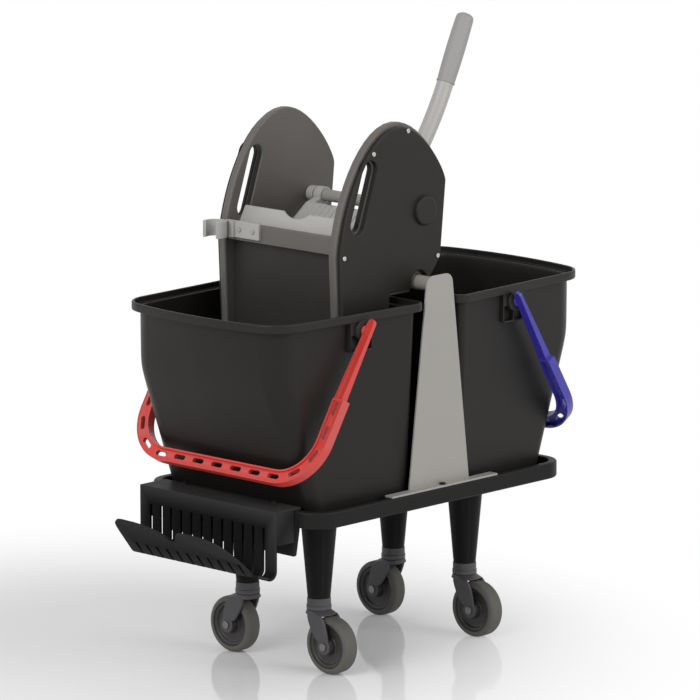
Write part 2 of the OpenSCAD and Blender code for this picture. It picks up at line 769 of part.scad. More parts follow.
module capsule(p, q, r) {
    a = atan2(q[1] - p[1], q[0] - p[0]);
    polygon(concat(arc(q, r, a - 90, a + 90, 12), arc(p, r, a + 90, a + 270, 12)));
}

module side_plate(s) {
    color(DARK) placed() mirrored_side(s) difference() {
        union() {
            difference() {
                standing(-side_out, side_out - side_in) polygon(side_outline());
                standing(-side_out - 1, side_out - side_in + 1 - side_wall)
                    polygon(inset(side_outline(), side_wall));
            }
            standing(-side_out, side_out - side_in) {
                capsule(hand_slot[0], hand_slot[1], hand_slot_w / 2 + side_wall);
                translate([shaft_x, shaft_z]) circle(shaft_d / 2 + boss_wall);
                for (p = rivet_spots) translate(p) circle(rivet_shank_r + 3);
            }
        }
        standing(-side_out - 1, side_t + 2) capsule(hand_slot[0], hand_slot[1], hand_slot_w / 2);
        along_y(shaft_x, shaft_z, -side_out - 1, -side_in + 1, shaft_d / 2 + run_gap);
        for (p = rivet_spots)
            along_y(p[0], p[1], -side_out - 1, -side_out + rivet_l, rivet_shank_r + hole_gap / 2);
    }
}

module side_cover(s) {
    color(DARK) placed() mirrored_side(s) standing(-wringer_w / 2, cover_t) difference() {
        polygon(inset(side_outline(), cover_inset));
        capsule(hand_slot[0], hand_slot[1], hand_slot_w / 2);
        translate([shaft_x, shaft_z]) circle(shaft_d / 2 + 1);
        for (p = rivet_spots) translate(p) circle(rivet_shank_r + hole_gap / 2);
    }
}

module cover_rivets(s) {
    color(LIGHT) placed() mirrored_side(s) for (p = rivet_spots) {
        along_y(p[0], p[1], -wringer_w / 2 - rivet_h, -wringer_w / 2, rivet_r);
        along_y(p[0], p[1], -wringer_w / 2 - rivet_h / 2, -side_out + rivet_l - 1, rivet_shank_r);
    }
}

module shaft_cap(s) {
    color(DARK) placed() mirrored_side(s)
        translate([shaft_x, -wringer_w / 2, shaft_z]) rotate([90, 0, 0]) {
            cylinder(h = cap_h - 2.5, d = cap_d);
            translate([0, 0, cap_h - 2.5]) cylinder(h = 2.5, d1 = cap_d, d2 = cap_d - 6);
        }
}

module front_rail() {
    front = -side_reach + 5;
    rear = -basket_x - basket_t - panel_t;
    color(DARK) placed()
        translate([front, -side_in, rail_top - rail_h]) cube([rear - front, 2 * side_in, rail_h]);
}

module front_panel() {
    front = -basket_x - basket_t - panel_t;
    low = basket_floor - basket_t;
    color(DARK) placed()
        translate([front, -side_in, low]) cube([panel_t, 2 * side_in, rail_top - rail_h / 2 - low]);
}

// The wall stands upright and leans back above the rail, with a scooped top edge
module basket_wall() {
    lean_low = rail_top - 16;
    lean = 20;
    scoop_r = 45;
    scoop_depth = 8;
    color(LIGHT) placed() difference() {
        standing(-side_in, 2 * side_in) polygon([
            [-basket_x - basket_t, basket_floor], [-basket_x, basket_floor], [-basket_x, lean_low],
            [-basket_x + lean, basket_top], [-basket_x + lean - basket_t, basket_top],
            [-basket_x - basket_t, lean_low]]);
        along_x(0, basket_top + scoop_r - scoop_depth, -basket_x - 2 * lean, -basket_x + 2 * lean, scoop_r);
    }
}

module basket_floor_plate() {
    hole_r = 6;
    pitch = 22;
    rear = rear_step + 2;
    color(LIGHT) placed() difference() {
        translate([-basket_x - basket_t, -side_in, basket_floor - basket_t])
            cube([basket_x + basket_t - rear, 2 * side_in, basket_t]);
        for (x = [1 : 3], y = [-3 : 3])
            translate([-basket_x + x * pitch - 4, y * pitch, basket_floor - basket_t - 1])
                cylinder(h = basket_t + 2, r = hole_r);
    }
}

module press_shaft() {
    half = side_out - 1;
    color(LIGHT) placed() along_y(shaft_x, shaft_z, -half, half, shaft_d / 2);
}

collar_w = 13;
hub_wall = 2.5;
hub_y = side_in - collar_w - 3;

module shaft_collars() {
    color(LIGHT) placed() for (s = [0, 1]) mirrored_side(s) difference() {
        along_y(shaft_x, shaft_z, part_gap - side_in, part_gap - side_in + collar_w, shaft_d / 2 + hub_wall);
        along_y(shaft_x, shaft_z, -side_in, -side_in + 2 * collar_w, shaft_d / 2 + hole_gap / 4);
    }
}

// The press plate hangs from two hubs on the shaft: a sloping ribbed top and an upright face
module press_plate() {
    low = basket_floor + 16;
    slope_top = [-16, shaft_z - 8];
    slope_low = [-press_x, shaft_z - 40];
    run = slope_low - slope_top;
    side = left_of(unit(run)) * press_t;
    lean = atan2(slope_top[0] - slope_low[0], slope_top[1] - slope_low[1]);
    rib_r = 2.2;
    hub_w = 14;
    rib_span = 2 * (hub_y - 8);
    color(LIGHT) placed() difference() {
        union() {
            standing(-hub_y, 2 * hub_y) polygon([
                slope_top, slope_low, [-press_x, low], [-press_x + press_t, low],
                slope_low + press_t * [1, -tan(lean / 2)], slope_top + side]);
            for (s = [0, 1]) mirrored_side(s) {
                along_y(shaft_x, shaft_z, -hub_y, -hub_y + hub_w, shaft_d / 2 + hub_wall + 1);
                standing(-hub_y, hub_w) polygon([
                    slope_top, slope_low, [-press_x + press_t, slope_low[1] - 10],
                    [shaft_x + 4, shaft_z - shaft_d / 2 - 1], [shaft_x, shaft_z]]);
            }
            for (i = [0 : press_ribs - 1]) {
                y = -rib_span / 2 + rib_span * i / (press_ribs - 1);
                translate([-press_x, y, low]) cylinder(h = slope_low[1] - low, r = rib_r, $fn = 16);
                translate([slope_low[0], y, slope_low[1]])
                    rotate([0, lean, 0]) cylinder(h = norm(run), r = rib_r, $fn = 16);
            }
        }
        along_y(shaft_x, shaft_z, -wringer_w, wringer_w, shaft_d / 2 + hole_gap / 4);
    }
}

lever_knee = [shaft_x, shaft_z] + lever_low * [sin(lever_low_a), cos(lever_low_a)];
lever_tip = lever_knee + lever_up * [sin(lever_up_a), cos(lever_up_a)];

module lever_tube() {
    clamp_w = 18;
    color(LIGHT) placed() translate([0, lever_y - side_in, 0]) difference() {
        union() {
            along_y(shaft_x, shaft_z, -clamp_w / 2, clamp_w / 2, shaft_d / 2 + 5);
            translate([shaft_x, 0, shaft_z]) rotate([0, lever_low_a, 0])
                cylinder(h = lever_low, d = lever_d);
            translate([lever_knee[0], 0, lever_knee[1]]) sphere(d = lever_d + 1);
            translate([lever_knee[0], 0, lever_knee[1]]) rotate([0, lever_up_a, 0])
                cylinder(h = lever_up - 4, d = lever_d);
        }
        along_y(shaft_x, shaft_z, -clamp_w, clamp_w, shaft_d / 2 + hole_gap / 4);
    }
}

module lever_grip() {
    edge = 3;
    r = lever_grip_d / 2;
    color(GREY) placed() translate([lever_tip[0], lever_y - side_in, lever_tip[1]]) rotate([0, lever_up_a, 0])
        translate([0, 0, -lever_grip_l]) rotate_extrude() polygon(concat(
            [[lever_d / 2 + hole_gap / 4, 0]],
            arc([r - 1, 1], 1, -90, 0, 3),
            arc([r - edge, lever_grip_l - edge], edge, 0, 90, 5),
            [[0, lever_grip_l], [0, lever_grip_l - 4], [lever_d / 2 + hole_gap / 4, lever_grip_l - 4]]));
}

clip_back = -side_reach + 5;
clip_x = clip_back - 4 - clip_d / 2 - clip_t - 2.6;
clip_y = side_in;
clip_z = rail_top + 4 - clip_h;
clip_bar_y = [side_in - 66, side_in - 16];

// A C-shaped spring clip that opens to the front, on a bar across the rail
module mop_clip() {
    r = clip_d / 2;
    color(LIGHT) placed() {
        difference() {
            union() {
                translate([clip_back - 4, clip_bar_y[0], clip_z])
                    cube([4, clip_bar_y[1] - clip_bar_y[0], clip_h]);
                translate([clip_back - 8, clip_bar_y[1] - 4, clip_z])
                    cube([8, clip_y - clip_bar_y[1] + 1, clip_h]);
                translate([clip_x, clip_y, clip_z]) cylinder(h = clip_h, r = r + clip_t);
            }
            translate([clip_x, clip_y, clip_z - 1]) cylinder(h = clip_h + 2, r = r);
            translate([clip_x, clip_y, clip_z - 1]) linear_extrude(clip_h + 2)
                polygon([[0, 0], 3 * r * [-cos(clip_open / 2), sin(clip_open / 2)],
                         3 * r * [-cos(clip_open / 2), -sin(clip_open / 2)]]);
            for (y = clip_screw_y)
                along_x(y, clip_z + clip_h / 2, clip_back - 5, clip_back + 1, 2 + hole_gap / 2);
        }
    }
}

clip_screw_y = [clip_bar_y[0] + 12, clip_bar_y[1] - 12];

module clip_screws() {
    color(GREY) placed() for (y = clip_screw_y) {
        along_x(y, clip_z + clip_h / 2, clip_back - 6, clip_back - 4, 3.6);
        along_x(y, clip_z + clip_h / 2, clip_back - 5, clip_back, 2);
    }
}

tray();
leg_bolts();
for (i = [0 : 3]) {
    leg(i);
    castor_collar(i);
    castor_fork(i);
    axle(i);
    wheel_hub(i);
    tyre(i);
}
for (s = [0, 1]) {
    upright(s);
    side_plate(s);
    side_cover(s);
    cover_rivets(s);
    shaft_cap(s);
}
for (e = [0, 1]) {
    bucket(e);
    bail(e);
}
upright_screws();
cross_bar();
rack();
rack_screws();
front_rail();
front_panel();
basket_wall();
basket_floor_plate();
press_shaft();
shaft_collars();
press_plate();
lever_tube();
lever_grip();
mop_clip();
clip_screws();
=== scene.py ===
"""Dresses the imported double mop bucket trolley: finishes, softened edges and detailed pieces."""

import json
import math

import bmesh
import bpy
from bpy.props import FloatProperty, FloatVectorProperty, PointerProperty
from mathutils import Matrix, Vector


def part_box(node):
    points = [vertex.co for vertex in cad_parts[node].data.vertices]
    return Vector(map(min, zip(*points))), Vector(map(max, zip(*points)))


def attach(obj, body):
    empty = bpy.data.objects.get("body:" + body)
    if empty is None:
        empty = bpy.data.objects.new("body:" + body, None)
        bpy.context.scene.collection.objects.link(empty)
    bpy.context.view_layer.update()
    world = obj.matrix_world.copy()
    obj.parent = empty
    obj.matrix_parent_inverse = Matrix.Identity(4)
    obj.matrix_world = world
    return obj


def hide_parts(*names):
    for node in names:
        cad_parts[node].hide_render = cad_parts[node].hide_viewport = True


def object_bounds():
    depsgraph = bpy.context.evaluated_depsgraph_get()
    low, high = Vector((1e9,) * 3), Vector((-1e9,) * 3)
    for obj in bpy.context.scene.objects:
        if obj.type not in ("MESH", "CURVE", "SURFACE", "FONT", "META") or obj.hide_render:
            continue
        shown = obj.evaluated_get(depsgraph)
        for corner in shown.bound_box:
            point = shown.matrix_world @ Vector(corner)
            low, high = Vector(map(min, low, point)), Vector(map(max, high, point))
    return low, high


bl_info = {
    "name": "Mop bucket trolley",
    "version": (1, 0, 0),
    "blender": (4, 5, 0),
    "location": "View3D > Sidebar > Trolley",
    "description": "Models the visible pieces of a double mop bucket trolley over its CAD frame",
    "category": "Object",
}

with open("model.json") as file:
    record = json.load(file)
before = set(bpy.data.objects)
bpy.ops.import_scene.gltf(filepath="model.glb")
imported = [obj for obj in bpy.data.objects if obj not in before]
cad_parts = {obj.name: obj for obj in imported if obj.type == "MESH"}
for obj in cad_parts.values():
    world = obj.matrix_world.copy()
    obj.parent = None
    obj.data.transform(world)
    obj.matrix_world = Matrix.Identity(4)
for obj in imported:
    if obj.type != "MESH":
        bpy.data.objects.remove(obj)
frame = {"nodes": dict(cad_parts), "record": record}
cad_low, cad_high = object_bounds()

MM = 0.001
CORNERS = ("front_right", "front_left", "rear_right", "rear_left")
SIDES = ("right", "left")
ENDS = ("front", "rear")
BODY_OF = {
    node: body
    for body, nodes in frame["record"]["behaviour"]["bodies"].items()
    for node in nodes
}
# The tray is symmetric, so its middle gives the trolley's own origin along X
tray_low, tray_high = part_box("tray")
MIDDLE_X = (tray_low.x + tray_high.x) / 2

# Sizes of the buckets in millimetres; they follow the part's source, with a softer knee
BUCKET_LOW = 240
BUCKET_TOP = 519
BAND_LOW = 507
KNEE_Z = 427
BUCKET_SLOPE = 80
BUCKET_WALL = 4
RIM_OUT = 10
WALL_IN = 44
WALL_OUT = 311
WALL_HALF_IN = 157
WALL_HALF_OUT = 144
RIM_CORNER = 50
WALL_CORNER = 45
WALL_CORNER_LOW = RIM_CORNER / 3
WALL_CORNER_IN = 12
RIM_CORNER_IN = 18
RIM_BULGE = 10
WALL_BULGE = 9
KNEE_SOFT = 2.0
# How far the wall stands in at its knee, and what its inner end and sides draw in by at the base
KNEE_IN = 5
DRAFT_INNER = 5
DRAFT_HALF_IN = 10
DRAFT_HALF_OUT = 2
# Steps round an inner corner, an outer corner, half the outer end and the edge of the base
INNER_STEPS = 10
OUTER_STEPS = 18
END_STEPS = 8
BASE_STEPS = 5

# Sizes of the carry handles
PIVOT_X = 155.5
PIVOT_Z = 495
PIN_R = 5
PIN_END = 153.5
PIN_ROOT = 165.5
SHOULDER_R = 7
SHOULDER_GAP = 0.4
SHOULDER_EDGE = 0.4
BORE_R = PIN_R + 0.3
LUG_IN = 149.6
LUG_OUT = 162
LUG_W = 44
LUG_LOW = 465
LUG_CORNER = 5
LUG_EDGE = 0.8
POCKET = (18.5, 12.8, 21.5)
POCKET_SHIFT = 10.75
POCKET_UP = 13.2
BOSS_H = 5
BOSS_R = 14.5
BAIL_HALF = 170.5
BAIL_L = 229
BAIL_R = 62
BAIL_REST = math.radians(31.5)
ARM_TAIL = 17
ARM_W = 12
ARM_STEP_W = 18
ARM_T = 5
GRIP_STEP = 104
GRIP_W = 20
GRIP_T = 14
GRIP_EDGE_W = 2.5
GRIP_EDGE_H = 2
WEB_T = 5
GRIP_SLOTS = 7
GRIP_PITCH = 36.3
SLOT_L = 21
SLOT_W = 7
HANDLE_EDGE = 0.5
BAIL_STEPS = 16
# The arm widens a little at its pivot and stops short of its full width at the grip
ARM_SPREAD = 0.3
ARM_STEP_IN = 1.5
# Share of the thickening that the arm has at its pivot, share of the grip's extra thickness that
# each of its faces reaches, and how far it stands inside the grip's inner edge
ARM_RISE = 0.1
ARM_SWELL = 0.3
ARM_INSIDE = 0.1
# The arm's channel ends before the grip; shares of its depth at its outer side and its middle
CHANNEL_END = 2
CHANNEL_OUTER = 0.3
CHANNEL_MIDDLE = 0.6
# Length over which a channel opens, and the depth that stands for a closed one
RAMP = 0.8
CLOSED = 0.05
# Width of the grip's groove, share of its depth that the web lies below the rails, and the rise of
# the web's outer side
GROOVE_W = 3.2
WEB_DROP = 0.4
WEB_CROWN = 0.4

# Sizes of the castors
TRAIL = 25
AXLE_Z = 40
SWIVEL_Z = 88
CROWN_LOW = 81.5
CROWN_R = 18
FORK_IN = 14
FORK_T = 4
HOOD_STEPS = 48
# Degrees from and to which a fork arm is round about its axle
FORK_TIP_FROM = 148
FORK_TIP_TO = 404

# Sizes of the wringer: a shorter outline than this is a hole that a rivet or a shaft fills
SMALL_HOLE = 40
# Share of a cap's height that its round edge takes
CAP_ROUND = 0.6
# Largest sideways part of the normal of a wall of the hand slot
SLOT_TILT = 0.3

# Sizes of the press shaft and the lever
SHAFT_X = 10
SHAFT_Z = 637
SHAFT_D = 17
LEVER_D = 24
LEVER_Y = 57
LEVER_LOW = 143
LEVER_LOW_A = math.radians(38)
LEVER_UP = 157
LEVER_UP_A = math.radians(24.5)
LEVER_STEPS = 40
BEND_STEPS = 12
# Where the tube starts from the shaft's axis, how far it ends short of the grip's end, and its fit
TUBE_START = 10
TUBE_SHORT = 6
TUBE_GAP = 0.1
CLAMP_HALF = 9
CLAMP_WALL = 5
CLAMP_EDGE = 1
GRIP_L = 104
GRIP_R = 13.75

# Distances in metres at which points are merged or count as level
CAD_MERGE = 2e-6
GRID_MERGE = 1e-6
LEVEL_GAP = 1e-5
MIDDLE_GAP = 1e-4
# Half lengths in millimetres of the tools that cut holes right through
HOLE_TOOL = 30
SLOT_TOOL = 20

# The stage, in metres, with the camera's sensor in millimetres
KEY_PLACE = Vector((-5.0, -0.6, 3.4))
FILL_PLACE = Vector((1.4, -5.0, 2.6))
LAMP_SIZE = 3.2
SENSOR = 36
CLIP_END = 60
FLOOR_SIZE = 40
FLOOR_DROP = 0.0003
# The floor is greyest round a place on the trolley's far left, where its shadow falls, and runs out
# to white between two distances from there
FLOOR_GREY_PLACE = (-0.22, 0.2, 0)
FLOOR_GREY_R = 0.25
FLOOR_WHITE_R = 0.85


def srgb(code):
    """An sRGB hex colour as linear RGBA."""
    values = [int(code[i : i + 2], 16) / 255 for i in (1, 3, 5)]
    linear = [v / 12.92 if v <= 0.04045 else ((v + 0.055) / 1.055) ** 2.4 for v in values]
    return (*linear, 1.0)


def colour(name, code, description):
    """A colour property of the trolley."""
    return FloatVectorProperty(
        name=name, description=description, subtype="COLOR", size=4, min=0, max=1,
        default=srgb(code),
    )


def length(name, millimetres, description):
    """A length property, given in millimetres."""
    return FloatProperty(
        name=name, description=description, unit="LENGTH", min=0, default=millimetres * MM
    )


class TrolleyColours(bpy.types.PropertyGroup):
    """Colours of the mouldings, sheets and metal"""

    bucket_black: colour("Bucket black", "#1e1c1a", "Buckets")
    tray_black: colour("Tray black", "#110f0e", "Tray")
    leg_black: colour("Leg black", "#0e0d0c", "Legs")
    wringer_charcoal: colour("Wringer charcoal", "#605c58", "Side plates and rails of the wringer")
    cover_black: colour("Cover black", "#1e1a16", "Covers and caps")
    sheet_black: colour("Sheet black", "#0f0e0e", "Coated sheet of the rack")
    sheet_grey: colour("Sheet grey", "#9c9993", "Coated uprights and bar")
    light_grey: colour("Light grey", "#b3b1ae", "Basket, press and clip")
    lever_grey: colour("Lever grey", "#aaa7a4", "Lever tube")
    grip_grey: colour("Grip grey", "#989694", "Lever grip")
    castor_grey: colour("Castor grey", "#474548", "Castor collars and forks")
    hub_black: colour("Hub black", "#343231", "Wheel hubs")
    tyre_grey: colour("Tyre grey", "#5d5b56", "Tyres")
    red: colour("Red", "#cf3a33", "Front carry handle")
    blue: colour("Blue", "#372f9e", "Rear carry handle")
    zinc: colour("Zinc", "#b9b8b4", "Bolts and rivets")
    axle_grey: colour("Axle grey", "#7f7e7c", "Axles")


class TrolleySizes(bpy.types.PropertyGroup):
    """Radii and details that the CAD solids leave plain"""

    mould_edge: length("Moulded edge", 1.2, "Edge radius of thick mouldings")
    sheet_edge: length("Sheet edge", 0.7, "Edge radius of cut sheet")
    metal_edge: length("Metal edge", 0.4, "Edge radius of screws, pins and rivets")
    tray_edge: length("Tray edge", 2.5, "Edge radius of the tray rim")
    cover_edge: length("Cover edge", 2.4, "Edge radius of the wringer covers")
    plate_edge: length("Plate edge", 2.8, "Edge radius of the wringer plates")
    fork_edge: length("Fork edge", 1.4, "Edge radius of the castor forks")
    fork_tip: length("Fork tip", 11.5, "Radius of a fork arm round its axle")
    collar_edge: length("Collar edge", 1.0, "Edge radius of the castor collars")
    clip_edge: length("Clip edge", 2.2, "Edge radius of the mop clip")
    cover_margin: length("Cover margin", 1.2, "How far a cover stands back from its plate's edge")
    base_edge: length("Bucket base edge", 7, "Radius round the bottom of a bucket")
    rail_depth: length("Arm channel", 1.8, "Depth of the channel along a handle's arm")
    rail_width: length("Arm rail", 1.8, "Width of the inner rail of a handle's arm")
    groove_depth: length("Grip groove", 2.4, "Depth of the groove beside the grip's inner rail")
    lever_bend: length("Lever bend", 60, "Length on each side of the bend in the lever")


class StageSettings(bpy.types.PropertyGroup):
    """Camera and light"""

    camera_place: FloatVectorProperty(
        name="Camera place", description="Where the camera stands", subtype="XYZ", unit="LENGTH",
        default=(-5.4706, -5.2185, 1.8820),
    )
    azimuth: FloatProperty(
        name="Azimuth", description="Direction the camera looks in, about the vertical",
        subtype="ANGLE", default=math.radians(-46.33),
    )
    elevation: FloatProperty(
        name="Elevation", description="How far the camera looks down", subtype="ANGLE",
        default=math.radians(10.9),
    )
    lens: FloatProperty(
        name="Lens", description="Focal length on a 36 mm sensor",
        subtype="DISTANCE_CAMERA", default=281.1,
    )
    ambient: FloatProperty(name="Ambient", description="Light from all round", min=0, default=0.5)
    key_power: FloatProperty(
        name="Key light", description="Power of the large lamp on the left", unit="POWER",
        default=150,
    )
    fill_power: FloatProperty(
        name="Fill light", description="Power of the large lamp on the right", unit="POWER",
        default=110,
    )


def colours():
    """The trolley's colours."""
    return bpy.context.scene.trolley_colours


def sizes():
    """The trolley's details, in metres."""
    return bpy.context.scene.trolley_sizes


def at(x, y, z):
    """A place in millimetres from the middle of the trolley, as metres in the frame."""
    return Vector((x * MM + MIDDLE_X, y * MM, z * MM))


def arc(x, y, radius, first, last, steps):
    """Points of an arc, in degrees."""
    angles = [math.radians(first + (last - first) * k / steps) for k in range(steps + 1)]
    return [(x + radius * math.cos(a), y + radius * math.sin(a)) for a in angles]


def add(tree, kind, inputs=None, **settings):
    """Adds a node with its settings; an input is a value or another node's output."""
    made = tree.nodes.new(kind)
    for key, value in settings.items():
        setattr(made, key, value)
    for key, value in (inputs or {}).items():
        if isinstance(value, bpy.types.NodeSocket):
            tree.links.new(value, made.inputs[key])
        else:
            made.inputs[key].default_value = value
    return made


def shade(value, factor):
    """A colour made lighter or darker."""
    return (*[min(1, c * factor) for c in value[:3]], 1)


def highlight_and_wear_colour(value):
    """The paler colour that an edge is mixed towards: partly wear, partly painted highlight."""
    return (*[c * 0.6 + 0.12 for c in value[:3]], 1)


# Pointiness at which an edge starts to pale, as wear and painted highlight, and at which it is
# palest, how far the gloss strays from its middle, and how strongly the pits show
EDGE_FROM = 0.51
EDGE_TO = 0.6
GLOSS_SPREAD = 0.05
PIT_STRENGTH = 0.5


def surface(name, base, roughness, grain, depth, ior=None, specular=0.5, metallic=0.0,
            mottle=45, spread=0.07, edge_highlight_and_wear=0.25):
    """A solid-coloured finish: mottled colour, grain in millimetres, edges paled as wear and
    painted highlight, uneven gloss.
    """
    if name in bpy.data.materials:
        return bpy.data.materials[name]
    material = bpy.data.materials.new(name)
    material.use_nodes = True
    tree = material.node_tree
    tree.nodes.clear()
    coords = add(tree, "ShaderNodeTexCoord").outputs["Object"]
    cloud = add(tree, "ShaderNodeTexNoise",
                {"Vector": coords, "Scale": 1 / (mottle * MM), "Detail": 4, "Roughness": 0.6})
    tint = add(tree, "ShaderNodeMix",
               {"Factor": cloud.outputs["Fac"],
                "A": shade(base, 1 - spread), "B": shade(base, 1 + spread)},
               data_type="RGBA")
    form = add(tree, "ShaderNodeNewGeometry")
    edge = add(tree, "ShaderNodeMapRange",
               {"Value": form.outputs["Pointiness"], "From Min": EDGE_FROM, "From Max": EDGE_TO,
                "To Min": 0.0, "To Max": edge_highlight_and_wear})
    # Convex edges are mixed towards a paler colour: partly wear, partly a painted highlight where
    # light catches them
    edge_lit_and_worn = add(tree, "ShaderNodeMix",
               {"Factor": edge.outputs["Result"],
                "A": tint.outputs["Result"], "B": highlight_and_wear_colour(base)},
               data_type="RGBA")
    pits = add(tree, "ShaderNodeTexNoise",
               {"Vector": coords, "Scale": 1 / (grain * MM), "Detail": 2, "Roughness": 0.5})
    bump = add(tree, "ShaderNodeBump",
               {"Height": pits.outputs["Fac"], "Strength": PIT_STRENGTH, "Distance": depth * MM})
    gloss = add(tree, "ShaderNodeMapRange",
                {"Value": cloud.outputs["Fac"], "From Min": 0.3, "From Max": 0.7,
                 "To Min": roughness - GLOSS_SPREAD, "To Max": roughness + GLOSS_SPREAD})
    optics = {"Specular IOR Level": specular, "Metallic": metallic}
    if ior:
        optics["IOR"] = ior
    principled = add(tree, "ShaderNodeBsdfPrincipled",
                     {"Base Color": edge_lit_and_worn.outputs["Result"], "Roughness": gloss.outputs["Result"],
                      "Normal": bump.outputs["Normal"], **optics})
    add(tree, "ShaderNodeOutputMaterial", {"Surface": principled.outputs["BSDF"]})
    return material


# Polypropylene from a spark-eroded mould: matt, even, with a soft broad sheen. The real grain is
# about 0.3 mm, drawn at 1.5 mm so that it shows.
POLYPROPYLENE = {"ior": 1.49, "grain": 1.5, "depth": 0.05}


def black_polypropylene():
    return surface("moulded black polypropylene", colours().bucket_black, 0.42,
                   specular=0.2, edge_highlight_and_wear=0.12, **POLYPROPYLENE)


def tray_polypropylene():
    # The tray's paler edges paint the highlight along its rim, with some wear
    return surface("moulded tray polypropylene", colours().tray_black, 0.45,
                   specular=0.1, edge_highlight_and_wear=0.3, **POLYPROPYLENE)


def leg_polypropylene():
    return surface("moulded leg polypropylene", colours().leg_black, 0.45,
                   specular=0.1, **POLYPROPYLENE)


def charcoal_polypropylene():
    return surface("moulded charcoal polypropylene", colours().wringer_charcoal, 0.46,
                   specular=0.35, **POLYPROPYLENE)


def cover_polypropylene():
    return surface("moulded cover polypropylene", colours().cover_black, 0.5,
                   specular=0.25, **POLYPROPYLENE)


def grey_polypropylene():
    return surface("moulded light grey polypropylene", colours().light_grey, 0.45,
                   spread=0.04, **POLYPROPYLENE)


# The handles come from a finer mould: a shallower grain, drawn at 1.8 mm, and a brighter sheen.
HANDLE_POLYPROPYLENE = {"ior": 1.49, "grain": 1.8, "depth": 0.04, "spread": 0.05}


def red_polypropylene():
    # The handle's paler edges paint highlights along its rails, with some wear
    return surface("moulded red polypropylene", colours().red, 0.38,
                   edge_highlight_and_wear=0.35, **HANDLE_POLYPROPYLENE)


def blue_polypropylene():
    return surface("moulded blue polypropylene", colours().blue, 0.38,
                   edge_highlight_and_wear=0.3, **HANDLE_POLYPROPYLENE)


def grip_vinyl():
    """Dipped soft vinyl: a satin skin with a faint ripple."""
    return surface("soft grey vinyl grip", colours().grip_grey, 0.55, grain=2.4, depth=0.08,
                   ior=1.53, specular=0.35, spread=0.05)


# Powder coat: a thin baked skin with an orange-peel ripple about 2 mm across.
POWDER_COAT = {"ior": 1.5, "grain": 2.0}


def black_powder_coat():
    return surface("black powder coated steel", colours().sheet_black, 0.4, depth=0.06,
                   # The rack's paler edges paint the highlight along its folds and lip, with some
                   # wear
                   specular=0.01, edge_highlight_and_wear=0.5, **POWDER_COAT)


def grey_powder_coat():
    return surface("grey powder coated steel", colours().sheet_grey, 0.42, depth=0.06,
                   spread=0.03, **POWDER_COAT)


def lever_powder_coat():
    return surface("pale grey powder coated tube", colours().lever_grey, 0.4, depth=0.05,
                   spread=0.03, **POWDER_COAT)


# Glass-filled nylon: dull, with a faint flow pattern. Its fine grain is drawn at 1.6 mm to show.
NYLON = {"ior": 1.53, "grain": 1.6, "specular": 0.4, "mottle": 18}


def castor_nylon():
    return surface("moulded grey nylon", colours().castor_grey, 0.5, depth=0.06, spread=0.1,
                   **NYLON)


def hub_nylon():
    return surface("moulded black nylon", colours().hub_black, 0.45, depth=0.05, **NYLON)


def tyre_rubber():
    """Thermoplastic rubber: matt and dusty, its edges a little paler, partly as wear and partly as
    painted highlight.
    """
    return surface("grey thermoplastic rubber", colours().tyre_grey, 0.68, grain=1.4, depth=0.1,
                   ior=1.52, specular=0.3, mottle=12, spread=0.12)


def zinc_plate():
    """Bright zinc plating: a fine spangle that breaks up the reflection."""
    return surface("zinc plated steel", colours().zinc, 0.32, grain=0.8, depth=0.02,
                   metallic=1.0, mottle=4, spread=0.12)


def axle_steel():
    """Plain bright steel, dulled by handling."""
    return surface("dull steel axle", colours().axle_grey, 0.5, grain=1.2, depth=0.03,
                   metallic=1.0, mottle=4, spread=0.1)


def begin():
    """Leaves edit mode and clears the selection, so that an operator acts on one piece alone."""
    active = bpy.context.view_layer.objects.active
    if active and active.mode != "OBJECT":
        bpy.ops.object.mode_set(mode="OBJECT")
    bpy.ops.object.select_all(action="DESELECT")


def pick(piece):
    """Selects one piece alone and makes it active."""
    begin()
    piece.select_set(True)
    bpy.context.view_layer.objects.active = piece


def edit(piece):
    """Opens one piece in edit mode with all of it selected."""
    pick(piece)
    bpy.ops.object.mode_set(mode="EDIT")
    bpy.ops.mesh.select_all(action="SELECT")


def copy_of(node, name):
    """A merged copy of a CAD node's mesh, as a new piece to model on."""
    piece = bpy.data.objects.new(name, frame["nodes"][node].data.copy())
    bpy.context.scene.collection.objects.link(piece)
    pick(piece)
    bpy.ops.mesh.customdata_custom_splitnormals_clear()
    edit(piece)
    bpy.ops.mesh.remove_doubles(threshold=CAD_MERGE)
    bpy.ops.mesh.dissolve_limited(angle_limit=math.radians(0.4))
    bpy.ops.object.mode_set(mode="OBJECT")
    return piece


def wrapped_grid(name, columns, rows, place):
    """A grid wrapped round: place(column, row) gives each point, and open ends are filled."""
    begin()
    bpy.ops.mesh.primitive_grid_add(x_subdivisions=columns, y_subdivisions=rows - 1, size=1)
    piece = bpy.context.object
    piece.name = name
    for row in range(rows):
        for column in range(columns + 1):
            piece.data.vertices[row * (columns + 1) + column].co = place(column % columns, row)
    edit(piece)
    bpy.ops.mesh.remove_doubles(threshold=GRID_MERGE)
    bpy.ops.mesh.select_all(action="DESELECT")
    bpy.ops.mesh.select_mode(type="EDGE")
    bpy.ops.mesh.select_non_manifold()
    bpy.ops.mesh.fill_holes(sides=0)
    bpy.ops.mesh.select_all(action="SELECT")
    bpy.ops.mesh.normals_make_consistent(inside=False)
    bpy.ops.object.mode_set(mode="OBJECT")
    return piece


def turned(name, profile, centre, axis, steps=64):
    """A profile of (radius, distance along the axis) in millimetres, turned about an axis."""
    turn = axis.to_track_quat("Z", "Y").to_matrix()

    def place(column, row):
        radius, along = profile[row]
        angle = 2 * math.pi * column / steps
        local = Vector((radius * math.cos(angle), radius * math.sin(angle), along)) * MM
        return centre + turn @ local

    return wrapped_grid(name, steps, len(profile), place)


